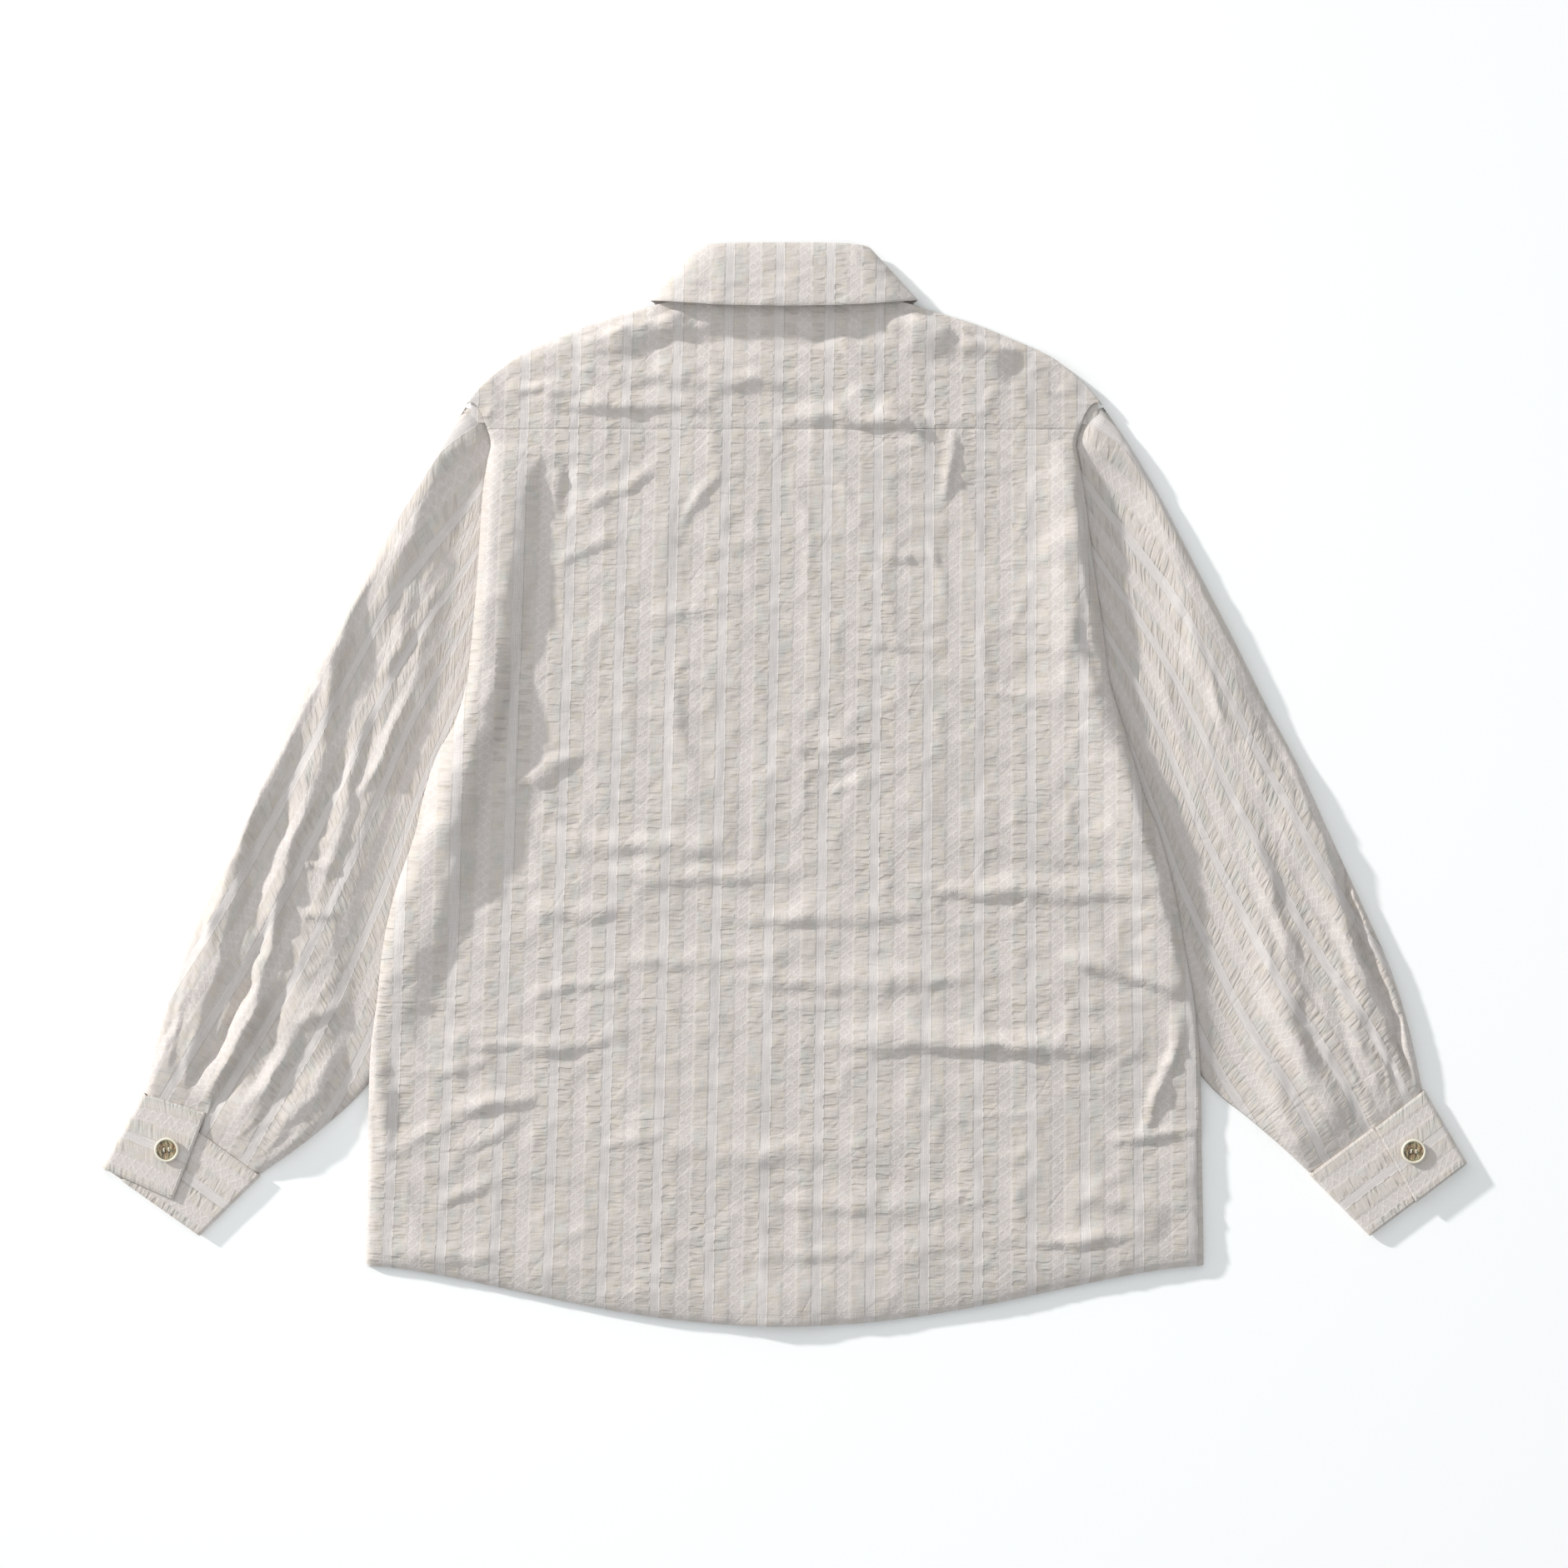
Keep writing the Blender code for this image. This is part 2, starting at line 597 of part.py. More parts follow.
def make_cuff(side):
    sign = -1.0 if side == "left" else 1.0
    corner = np.stack([CUFF_CORNER[side + "_x"], CUFF_CORNER[side + "_y"]], 1)
    path = cuff_section(side)
    points = []
    for v in spread(CUFF_ROWS):
        outer = corner[OUTER_TOP] + (corner[OUTER_BOTTOM] - corner[OUTER_TOP]) * v
        inner = corner[INNER_TOP] + (corner[INNER_BOTTOM] - corner[INNER_TOP]) * v
        flap = corner[FLAP_TOP] + (corner[FLAP_BOTTOM] - corner[FLAP_TOP]) * v
        width = np.linalg.norm(inner - outer)
        row = []
        for k, (share, inset, height) in enumerate(path):
            if k >= len(path) - 3:
                place = outer + (flap - outer) * share / flap_share(side)
            else:
                place = outer + (inner - outer) * (share + inset / width)
            row.append((sign * place[0], place[1], height))
        points.append(row)
    shell("cuff_" + side, points, materials["cuff_cloth"], CUFF_CLOTH, offset=0.0, flip=sign > 0)


def collar_columns(names):
    """Rows of a collar piece from one front point round the back to the other."""
    rows = len(COLLAR["fold_x"])
    place = np.linspace(0.0, rows - 1.0, (rows - 1) * COLLAR_STEPS + 1)
    half = np.stack([through(np.arange(rows), COLLAR[name], place) for name in names], 1)
    other = half[:0:-1] * np.array([-1.0, 1.0, 1.0] * (len(names) // 3))
    return np.concatenate([other, half])


def make_collar_leaf():
    across = collar_columns(("fold_x", "fold_y", "fold_z", "edge_x", "edge_y", "edge_z"))
    fold, edge = across[:, :3], across[:, 3:]
    points = []
    for share, lift in COLLAR_ROLL:
        row = fold + (edge - fold) * share
        row[:, 2] += COLLAR_SWELL * lift * smooth_step((row[:, 2] - COLLAR_LOW) / COLLAR_RISE)
        points.append(row)
    shell("collar_leaf", points, materials["collar_cloth"], CLOTH, flip=True)


def make_collar_stand():
    across = collar_columns(("foot_x", "foot_y", "foot_z", "top_x", "top_y", "top_z"))
    foot, top = across[:, :3], across[:, 3:]
    points = [foot + (top - foot) * share for share in spread(3)]
    shell("collar_stand", points, materials["collar_cloth"], CLOTH)


def make_button(name, x, y, z, steps, face_down=False):
    """Turned button with a raised rim, a dish and four holes; z is its lower side."""
    inside = BUTTON_RADIUS - BUTTON_RIM
    section = (
        (0.0, 0.0),
        (BUTTON_RADIUS - 2 * BUTTON_BEVEL, 0.0),
        (BUTTON_RADIUS, BUTTON_BEVEL * 2),
        (BUTTON_RADIUS, BUTTON_HEIGHT - BUTTON_BEVEL),
        (BUTTON_RADIUS - BUTTON_BEVEL, BUTTON_HEIGHT),
        (inside, BUTTON_HEIGHT),
        (inside - BUTTON_DISH, BUTTON_HEIGHT - BUTTON_DISH),
        (0.0, BUTTON_HEIGHT - BUTTON_DISH),
    )
    mesh = bpy.data.meshes.new(name)
    build = bmesh.new()
    points = [build.verts.new((radius, 0.0, height)) for radius, height in section]
    edges = [build.edges.new(pair) for pair in zip(points, points[1:])]
    bmesh.ops.spin(
        build,
        geom=points + edges,
        cent=(0, 0, 0),
        axis=(0, 0, 1),
        angle=2 * math.pi,
        steps=steps,
        use_merge=True,
    )
    bmesh.ops.remove_doubles(build, verts=build.verts, dist=1e-6)
    bmesh.ops.dissolve_limit(build, angle_limit=0.01, verts=build.verts, edges=build.edges)
    bmesh.ops.recalc_face_normals(build, faces=build.faces)
    build.to_mesh(mesh)
    build.free()
    mesh.materials.append(materials["button_horn"])
    obj = bpy.data.objects.new(name, mesh)
    parts.objects.link(obj)
    turn = Matrix.Rotation(math.pi, 4, "X") if face_down else Matrix.Identity(4)
    lift = BUTTON_HEIGHT if face_down else 0.0
    obj.data.transform(Matrix.Translation((x, y, z + lift)) @ turn)
    cut_holes(obj, x, y, z, steps)


def cut_holes(obj, x, y, z, steps):
    cutter = bpy.data.meshes.new(obj.name + "_holes")
    build = bmesh.new()
    for across in (-0.5, 0.5):
        for along in (-0.5, 0.5):
            place = (x + across * BUTTON_HOLE_SPACING, y + along * BUTTON_HOLE_SPACING, z + BUTTON_HEIGHT / 2)
            bmesh.ops.create_cone(
                build,
                cap_ends=True,
                segments=steps // 3,
                radius1=BUTTON_HOLE,
                radius2=BUTTON_HOLE,
                depth=2 * BUTTON_HEIGHT,
                matrix=Matrix.Translation(place),
            )
    build.to_mesh(cutter)
    build.free()
    tool = bpy.data.objects.new(obj.name + "_holes", cutter)
    cutters.objects.link(tool)
    tool.hide_render = True
    tool.display_type = "WIRE"
    cut = obj.modifiers.new("Holes", "BOOLEAN")
    cut.object = tool
    cut.operation = "DIFFERENCE"
    cut.solver = "EXACT"


def make_buttons():
    flap_top = CUFF_FLAP + CUFF_CLOTH / 2 + SEAM
    for side, sign, x, y in zip(("left", "right"), (-1.0, 1.0), CUFF_BUTTON["x"], CUFF_BUTTON["y"]):
        make_button("cuff_button_" + side, sign * x, y, flap_top, CUFF_BUTTON_SIDES)
    for k in range(FRONT_BUTTONS):
        y = FRONT_BUTTON_TOP - k * FRONT_BUTTON_STEP
        make_button(f"front_button_{k + 1}", 0.0, y, 0.0, FRONT_BUTTON_SIDES, face_down=True)


clear_scene()
parts = make_collection("overshirt")
cutters = make_collection("cutters")
materials = make_materials()
make_back()
make_yoke()
make_front("front_left", -1.0)
make_front("front_right", 1.0)
for sleeve_side in ("left", "right"):
    make_sleeve(sleeve_side)
    make_cuff(sleeve_side)
make_collar_leaf()
make_collar_stand()
make_buttons()
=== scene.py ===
"""Overshirt laid flat on its front, as seen from its back, with its cloth, folds, stitching and buttons."""

import math
from functools import partialmethod

import bmesh
import bpy
import numpy as np
from mathutils import Matrix, Vector


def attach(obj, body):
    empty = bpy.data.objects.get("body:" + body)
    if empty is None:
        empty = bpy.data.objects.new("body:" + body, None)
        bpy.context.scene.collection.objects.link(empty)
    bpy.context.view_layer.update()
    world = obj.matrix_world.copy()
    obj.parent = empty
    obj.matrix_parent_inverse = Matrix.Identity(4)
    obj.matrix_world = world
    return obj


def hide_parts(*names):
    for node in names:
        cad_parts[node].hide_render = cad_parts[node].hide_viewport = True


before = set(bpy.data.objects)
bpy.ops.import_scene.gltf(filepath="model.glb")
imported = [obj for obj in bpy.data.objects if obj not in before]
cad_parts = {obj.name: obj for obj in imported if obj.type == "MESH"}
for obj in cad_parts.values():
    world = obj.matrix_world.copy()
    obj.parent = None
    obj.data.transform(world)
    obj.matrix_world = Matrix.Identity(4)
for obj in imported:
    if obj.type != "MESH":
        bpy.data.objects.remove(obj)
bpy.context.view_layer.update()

MM = 0.001

# Cloth and seams
CAD_CLOTH = 1.2 * MM
CLOTH = 0.8 * MM
COLLAR_CLOTH = 1.1 * MM
CUFF_CLOTH = 1.8 * MM
SEAM = 0.3 * MM
SLOPE_STEP = 0.5 * MM

# What the body lies on
SLEEVE_UNDER = 5 * MM
BED_RAMP = 36 * MM
BED_MARGIN = 16 * MM
COLLAR_UNDER = 2.1 * MM
COLLAR_RAMP = 18 * MM
COLLAR_REACH_X = 104 * MM
COLLAR_REACH_Y = 256 * MM
BUTTON_UNDER = 3.4 * MM
BUTTON_RAMP = 30 * MM

# Front edges
FRONT_LAP = 16 * MM
FRONT_LAP_RAMP = 30 * MM
FRONT_LAP_END = 40 * MM
FRONT_LAP_POINTS = 15
FRONT_SIDE_INSET = 2.5 * MM
FRONT_TOP_INSET = 1.2 * MM
FRONT_HEM_INSET = 5 * MM

# Back and yoke
YOKE_SEAM_Y = 254.7 * MM
YOKE_SEAM_HALF = 0.03 * MM
EDGE_DROP = 1.3 * MM
EDGE_DROP_REACH = 2.3 * MM
BACK_LEVEL = 8.4 * MM
SIDE_ROLL = 10 * MM
HEM_ROLL = 20 * MM
HEM_DEPTH = 43.5 * MM
HEM_CORNER_Y = -346 * MM
HEM_HALF = 300 * MM
HEM_POWER = 1.65
HEM_LIFT = 0.35
NECK_OPEN = 60 * MM
NECK_HALF = 66 * MM
NECK_FADE = 34 * MM
SHOULDER_SLANT = 0.85
HEM_STITCH = 7 * MM
SEAM_STITCH = 1.8 * MM
COLLAR_STITCH = 1.5 * MM

# Sleeves: heights and rolls, then armhole, vent and cuff end as shares of the length or the width
SLEEVE_OPEN = 9.6 * MM
SLEEVE_EDGE = 2.5 * MM
SLEEVE_ROLL = 7.5 * MM
SIGN = {"left": -1.0, "right": 1.0}
SLEEVE_RISE = {"left": 24 * MM, "right": 52 * MM}
SLEEVE_CLEAR = {"left": 14 * MM, "right": 20 * MM}
SLEEVE_DIP = {"left": 0.0, "right": 2.4 * MM}
ARMHOLE_BOW = 18 * MM
ARMHOLE_BOW_POWER = 0.45
ARMHOLE_BOW_REACH = 0.3
BOW_AT_EDGE = 0.12
BOW_EDGE_WIDTH = 0.2
VENT_PULL = 1.02
VENT_REACH = 0.2
TUCK = 3 * MM
TUCK_DROP = 2 * MM
TUCK_EDGE = 0.06
TUCK_REACH = 0.015
VENT_END = 0.045
CUFF_REACH = 0.07
SLEEVE_CREASE_WIDTH = 0.25
SLEEVE_CREASE_LENGTH = 0.55
SLEEVE_CREASED = 0.75
SLEEVE_THIN = 0.5 * MM

# Beside the tip of the yoke a sleeve rises at once, and its outer edge starts higher
SHOULDER_LOW = 205 * MM
SHOULDER_FADE = 45 * MM
SHOULDER_CLEAR = 1 * MM
SHOULDER_RISE = 10 * MM
SHOULDER_EDGE = 6 * MM
SHOULDER_REACH = 0.12

# Cuffs: height of the middle of the cloth at each layer, and the waves of the upper ones
CUFF_BOTTOM = 1 * MM
CUFF_INSIDE = 5 * MM
CUFF_FLAP = 7.6 * MM
CUFF_TUCK = 0.2
CUFF_SWELL = 0.35 * MM
CUFF_SWELL_SIZE = 23 * MM
CUFF_SWELL_FROM = 3 * MM
CUFF_SWELL_FADE = 2 * MM

# Shares of the width and points of a cuff's straight layers, and points of its two turns
CUFF_INSIDE_RUN = (CUFF_TUCK, 0.93, 26)
CUFF_UNDER_RUN = (0.9, 0.1, 14)
CUFF_FLAP_RUN = (0.12, 1.0, 22)
CUFF_TURNS = (11, 13)
CUFF_ROWS = 26

# Buttons
BUTTON_RADIUS = 8.75 * MM
BUTTON_HEIGHT = 3 * MM
BUTTON_HOLE = 0.8 * MM
BUTTON_HOLE_SPACING = 3.5 * MM
FRONT_BUTTON_TOP = 258 * MM
FRONT_BUTTON_STEP = 96 * MM
FRONT_BUTTONS = 6
THREAD_HEIGHT = 2 * MM
THREAD_THICK = 0.42 * MM
THREAD_PAST_HOLE = 0.25 * MM
THREAD_DIP = 1.6 * MM
THREAD_WIDER, THREAD_FLATTER = 1.25, 0.8

# Collar
COLLAR_SWELL = 1.2 * MM
COLLAR_LOW = 3 * MM
COLLAR_RISE = 6 * MM
COLLAR_WAVE_SIZE = 31 * MM
COLLAR_WAVE = 0.5
FOLD_TURN, FOLD_TURN_SHARP = 0.9, 12
FALL_SWELL, FALL_SWELL_AT = 1.1, 0.7
FALL_CREASES_FROM = 2.5
COLLAR_STEPS = 9
FALL_ROWS, STAND_ROWS = 20, 12

# Points of the back, the yoke, a front and a sleeve across and along
BACK_GRID = (185, 200)
YOKE_GRID = (170, 42)
FRONT_GRID = (34, 90)
SLEEVE_RINGS = 170
SLEEVE_EDGE_SHARES = (0.0, 0.004, 0.01, 0.018, 0.028, 0.04)
SLEEVE_TOP_RUN = (0.05, 0.985, 74)
SLEEVE_BOTTOM_RUN = (0.975, 0.025, 24)
SLEEVE_BOTTOM_END = (0.013, 0.006)
EDGE_PASSES = 6
FRONT_EDGE_PASSES = 8
YOKE_ROWS_TO_SHOULDER = 1.25
EDGE_SHARES = (0.0015, 0.003, 0.0055, 0.0085, 0.012, 0.0155)

# How uneven a fold is along its run: share, waves and shift from one fold to the next
FOLD_STEPS = 17
FOLD_WIDTH_WAVES = ((0.22, 9.0, 1.7),)
FOLD_HEIGHT_WAVES = ((0.16, 13.0, 2.3), (0.09, 29.0, 1.0))
FOLD_TAPER = 0.6
FOLD_MARGIN = 1.2

# Pushes of places before folds and crumples are read there: how far, and the waves' size for x and y
FOLD_PUSHES = ((3.2 * MM, 21 * MM, 19 * MM), (1.4 * MM, 8 * MM, 8 * MM))
CRUMPLE_PUSHES = ((5 * MM, 42 * MM, 38 * MM), (2 * MM, 15 * MM, 13 * MM))

# Crumples: size and height of broad waves, creases and fine creases, how sharp the creases are and their mean
CRUMPLE_SIZES = (34 * MM, 21 * MM, 9 * MM)
BROAD_HEIGHT = 1.1 * MM
CREASE_HEIGHT, CREASE_SHARP, CREASE_MEAN = 1.2 * MM, 4, 0.2
FINE_HEIGHT, FINE_SHARP, FINE_MEAN = 0.5 * MM, 3, 0.25

# Seersucker: where a crinkled column starts and ends beside a satin stripe, and its waves
PUCKER_START, PUCKER_END = 3.4 * MM, 12.6 * MM
PUCKER_HEIGHT = 0.3 * MM
PUCKER_WIDE = 2.2
PUCKER_SIZE = 4.2 * MM
PUCKER_LONG_SIZE, PUCKER_LONG_SHARE = 7.5 * MM, 0.6

# Woven stripe: width of one repeat at the yoke seam and at the hem, and where a satin stripe runs there
REPEAT_TOP, REPEAT_LOW = 36.4 * MM, 38.6 * MM
STRIPE_TOP_X, STRIPE_LOW_X = -4.7 * MM, -15.5 * MM
STRIPE_TOP_Y, STRIPE_LOW_Y = 265 * MM, -351 * MM
REPEAT = 36.8 * MM

# Columns across one repeat of the weave, in millimetres from the middle of a satin stripe
SATIN_HALF = 3.3
SATIN_LINE_STEP = 1.3
BORDER_AT = 4.0
FIGURE_AT, FIGURE_HALF = 18.4, 5.0
LOZENGE_WIDE, LOZENGE_HIGH = 3.6, 6.6
STITCH_LENGTH = 2.8


def table(names, *rows):
    """Named columns in metres from rows in millimetres."""
    return dict(zip(names.split(), MM * np.array(rows, float).T))


def fold_table(*rows):
    """Columns of folds from rows in millimetres; a row without its last number is a plain ridge."""
    names = "from_x from_y via_x via_y to_x to_y height near far top"
    return table(names, *[(row + (1000,))[:10] for row in rows])


# Side edges of the body from the shoulder tip to the hem
BODY_EDGE = table(
    "y      left   right",
    (-390, 300.5, 301.5),
    (-345, 300.3, 301.3),
    (-238, 298.0, 299.3),
    (-201, 297.0, 298.2),
    (-153, 291.5, 293.6),
    (-120, 288.0, 287.6),
    (-82, 280.0, 281.0),
    (-34, 264.0, 268.5),
    (-10, 258.6, 258.6),
    (20, 249.0, 249.6),
    (45, 235.5, 242.0),
    (76, 226.8, 232.8),
    (112, 223.0, 228.4),
    (159, 219.0, 221.6),
    (207, 216.0, 215.4),
    (232, 212.5, 211.0),
    (244, 210.0, 209.0),
    (252, 211.5, 210.5),
    (262, 217.0, 216.5),
    (271, 227.5, 228.0),
)

# Shoulder line beyond the collar's points, which the yoke and the fronts share
SHOULDER = ((133.5, 331.5), (164, 319.5), (190, 307.5), (206, 295.5), (219, 283.5), (229, 271.0))

# Upper edge of the yoke, under the collar and along the shoulder
YOKE_TOP = table("x y", (0, 350.0), (40, 350.0), (70, 349.5), (82, 347.0), (97, 342.2), *SHOULDER)

# Neckline and shoulder of a front
FRONT_NECK = ((0, 299.0), (25, 301.0), (45, 307.0), (62, 318.0), (75, 331.0), (86, 342.0), (97, 341.5))
FRONT_TOP = table("x y", *FRONT_NECK, *SHOULDER)

# Outer edge of the sleeves from the shoulder tip to the cuff
SLEEVE_OUTER = table(
    "left_x  left_y  right_x  right_y",
    (229.0, 270.5, 229.5, 270.5),
    (252.0, 236.0, 253.0, 236.5),
    (274.5, 199.5, 273.5, 201.0),
    (300.0, 151.5, 297.5, 154.0),
    (325.5, 103.5, 323.0, 105.0),
    (350.0, 55.5, 347.5, 55.5),
    (373.0, 7.5, 371.5, 10.0),
    (396.5, -40.5, 393.5, -38.0),
    (417.0, -88.5, 416.5, -88.0),
    (436.0, -136.5, 437.5, -136.0),
    (451.0, -184.5, 451.5, -183.0),
    (459.7, -221.5, 459.2, -219.5),
)

# Inner edge of the sleeves from the hidden underarm to the cuff
SLEEVE_INNER = table(
    "left_x  left_y  right_x  right_y",
    (211.0, 40.0, 211.0, 40.0),
    (217.0, 5.0, 217.0, 5.0),
    (226.0, -30.0, 226.0, -30.0),
    (236.0, -66.0, 236.0, -66.0),
    (246.0, -100.0, 246.0, -100.0),
    (257.0, -134.0, 257.0, -134.0),
    (271.0, -166.0, 272.0, -166.0),
    (286.0, -197.0, 290.0, -196.0),
    (305.0, -222.5, 309.0, -219.8),
    (329.0, -245.0, 333.0, -239.5),
    (353.0, -264.0, 357.0, -260.0),
    (376.8, -280.6, 378.0, -279.6),
)

# Corners of the cuffs: outer, inner and the flap's, each at the sleeve and at the open edge
CUFF_CORNER = table(
    "left_x  left_y  right_x  right_y",
    (460.0, -222.2, 459.6, -220.2),
    (489.6, -275.6, 490.4, -272.9),
    (377.2, -281.3, 378.4, -280.3),
    (420.8, -324.3, 421.9, -324.3),
    (415.2, -236.2, 424.6, -247.2),
    (438.8, -298.4, 453.9, -300.6),
)
OUTER_TOP, OUTER_BOTTOM, INNER_TOP, INNER_BOTTOM, FLAP_TOP = range(5)
CUFF_BUTTON = table("x y", (442.9, -262.4), (451.6, -263.5))

# Collar from the middle of the back to the front point: fold and edge of the fall, foot and top of the stand
COLLAR = table(
    "fold_x fold_y fold_z edge_x edge_y edge_z foot_x foot_y foot_z top_x  top_y  top_z",
    (0.0, 388.0, 11.5, 0.0, 342.0, 19.0, 0.0, 350.8, 8.6, 0.0, 386.0, 9.8),
    (25.0, 387.8, 11.5, 38.0, 342.6, 19.0, 30.0, 350.8, 8.6, 24.0, 385.8, 9.8),
    (45.0, 387.2, 11.2, 66.0, 344.0, 18.4, 56.0, 350.6, 8.2, 43.5, 385.2, 9.5),
    (57.0, 385.8, 9.2, 84.0, 345.6, 14.8, 72.0, 351.0, 7.0, 55.0, 383.8, 7.7),
    (62.0, 383.5, 5.6, 95.4, 346.8, 6.6, 78.5, 352.0, 4.9, 59.2, 381.8, 5.3),
    (58.0, 381.0, 2.2, 93.8, 346.6, 1.3, 74.5, 348.0, 3.6, 55.5, 379.5, 3.5),
    (50.0, 373.0, 1.3, 85.0, 320.0, 1.3, 66.5, 328.0, 2.9, 48.5, 371.5, 2.9),
    (38.0, 358.0, 1.3, 75.0, 298.0, 1.3, 48.0, 313.0, 2.9, 37.0, 357.0, 2.9),
    (24.0, 345.0, 1.3, 64.0, 281.0, 1.3, 30.0, 305.6, 2.9, 23.5, 344.0, 2.9),
    (10.0, 336.0, 1.3, 53.0, 267.0, 1.3, 10.0, 302.0, 2.9, 10.0, 335.0, 2.9),
)

# Folds of the back and the yoke: the crest's start, middle and end, then height, width towards the light
# and away from it, and how flat the top is in thousandths of a plain ridge, where it isn't one
BODY_FOLDS = fold_table(
    (-200, 245, -196, 60, -290, -175, 15.5, 28, 27, 1500),
    (-155, 238, -157, 215, -154, 190, -3.0, 7, 9),
    (-205, -10, -168, 14, -142, 20, 3.5, 9, 8),
    (-178, -18, -165, -24, -150, -24, 2.2, 6, 5, 900),
    (-172, -38, -100, -47, -34, -41, 4.2, 12, 15),
    (-184, -88, -148, -94, -110, -90, 3.0, 10, 9),
    (-110, 318, 0, 318, 70, 324, -4.5, 18, 13),
    (74, 334, 114, 330, 170, 303, 9.0, 9, 26),
    (-66, 336, -104, 332, -152, 315, 5.5, 7, 25),
    (46, 279, 80, 264, 106, 248, 4.4, 12, 12),
    (-150, 296, -60, 292, 30, 284, 3.6, 15, 10),
    (-199, 286, -181, 280, -150, 282, 3.4, 9, 6, 900),
    (-182, 276, -112, 271, -52, 270, 4.4, 13, 7, 900),
    (-14, 266, 55, 262, 116, 252, 4.6, 14, 7, 900),
    (122, 254, 126, 230, 112, 202, 3.4, 9, 5, 900),
    (194, 178, 204, 90, 234, 10, 4.2, 48, 14, 1300),
    (205, 246, 217, 150, 229, 66, 7.5, 40, 6),
    (228, 88, 254, -8, 287, -152, 7.5, 40, 6),
    (48, 101, 84, 98, 118, 100, 2.2, 9, 5, 900),
    (32, -7, 50, 4, 70, 7, 2.2, 7, 5, 900),
    (90, -76, 170, -78, 262, -80, 4.2, 16, 7),
    (198, -126, 244, -134, 286, -154, 5.0, 14, 7),
    (28, -184, 130, -186, 260, -192, 6.0, 19, 8),
    (287, -164, 278, -198, 262, -234, 3.8, 8, 5, 900),
    (270, -208, 264, -230, 254, -254, 2.6, 5, 4, 900),
    (232, -254, 262, -253, 300, -249, 3.8, 9, 4, 900),
    (206, -282, 240, -298, 276, -312, 4.0, 12, 18),
    (172, -328, 212, -331, 250, -326, 3.6, 11, 5, 900),
    (-291, -192, -290, -230, -285, -268, 4.2, 10, 13),
    (-282, -336, -240, -340, -200, -338, 2.6, 9, 6),
    (-246, -183, -190, -189, -140, -191, 3.2, 10, 7),
    (-234, -239, -206, -229, -176, -223, 2.6, 9, 6, 900),
    (-60, 150, -20, 70, 60, 35, 2.2, 26, 22),
    (-120, -255, -30, -272, 90, -262, 2.4, 20, 16),
    (-60, -330, 40, -350, 150, -322, 2.0, 14, 11),
    (-110, 190, -60, 168, -10, 172, 1.8, 14, 9),
    (30, 214, 74, 196, 116, 178, 1.8, 12, 9),
    (-140, -120, -70, -132, 10, -122, 2.2, 13, 9),
    (-90, 70, -60, 20, -70, -20, 1.8, 14, 12),
    (-24, -300, 60, -306, 146, -296, 2.8, 15, 8),
    (-242, -238, -212, -234, -180, -221, 2.6, 10, 5, 900),
    (-238, -264, -214, -257, -188, -240, 2.2, 9, 5, 900),
    (-264, -208, -234, -205, -204, -195, 2.2, 9, 5, 900),
    (-194, -197, -154, -192, -110, -177, 2.4, 11, 6, 900),
    (-284, -264, -262, -257, -238, -243, 2.2, 9, 5, 900),
    (-254, -302, -230, -293, -206, -286, 2.6, 9, 5, 900),
    (-132, -263, -108, -257, -84, -250, 2.4, 8, 5, 900),
    (-184, -152, -150, -147, -116, -136, 2.8, 9, 6, 900),
    (-148, 195, -120, 210, -90, 228, 2.4, 9, 5, 900),
    (-162, 156, -140, 170, -116, 179, 2.4, 8, 5, 900),
    (-72, 186, -58, 202, -47, 222, 2.4, 7, 5, 900),
    (-102, 120, -72, 128, -42, 126, 2.2, 9, 6, 900),
    (-124, -66, -60, -70, 24, -62, 3.0, 14, 7),
    (-62, -94, 20, -99, 114, -90, 3.0, 14, 7),
    (-44, -141, 60, -147, 156, -137, 3.0, 15, 8),
    (56, 168, 84, 160, 112, 164, 2.4, 9, 5, 900),
    (140, 70, 160, 62, 184, 64, 2.2, 9, 5, 900),
    (-10, 30, 30, 24, 76, 30, 2.2, 10, 6, 900),
)

SLEEVE_LEFT_FOLDS = fold_table(
    (-284, 176, -327, 92, -373, -4, 4.6, 6, 26),
    (-368, 10, -412, -92, -454, -222, 4.6, 6, 17),
    (-368, 32, -392, -80, -438, -234, 5.0, 17, 9, 1100),
    (-368, -96, -388, -160, -436, -234, -4.8, 6, 5, 900),
    (-304, 170, -321, 60, -345, -28, 6.2, 17, 8),
    (-336, -6, -366, -66, -365, -130, 7.0, 16, 6),
    (-363, -108, -382, -172, -420, -236, 6.0, 14, 6),
    (-354, -136, -382, -184, -412, -242, -5.0, 7, 10, 900),
    (-229, 264, -262, 200, -294, 100, 5.4, 18, 9, 1100),
    (-336, 98, -366, 22, -399, -112, 3.4, 14, 9),
    (-350, -171, -322, -166, -292, -153, 3.0, 9, 5),
    (-336, -146, -366, -206, -400, -258, 3.8, 12, 14, 1100),
    (-300, 60, -312, -10, -330, -70, 3.2, 12, 7),
    (-309, -178, -330, -215, -372, -262, 3.0, 13, 9),
    (-262, 150, -276, 110, -290, 40, 3.0, 11, 7),
    (-352, -50, -338, -60, -320, -60, 2.6, 6, 4, 900),
    (-356, -86, -340, -97, -320, -92, 2.6, 6, 4, 900),
    (-282, 34, -293, 10, -307, -12, 2.8, 8, 5, 900),
    (-270, 64, -280, 44, -291, 22, 2.6, 7, 5, 900),
)

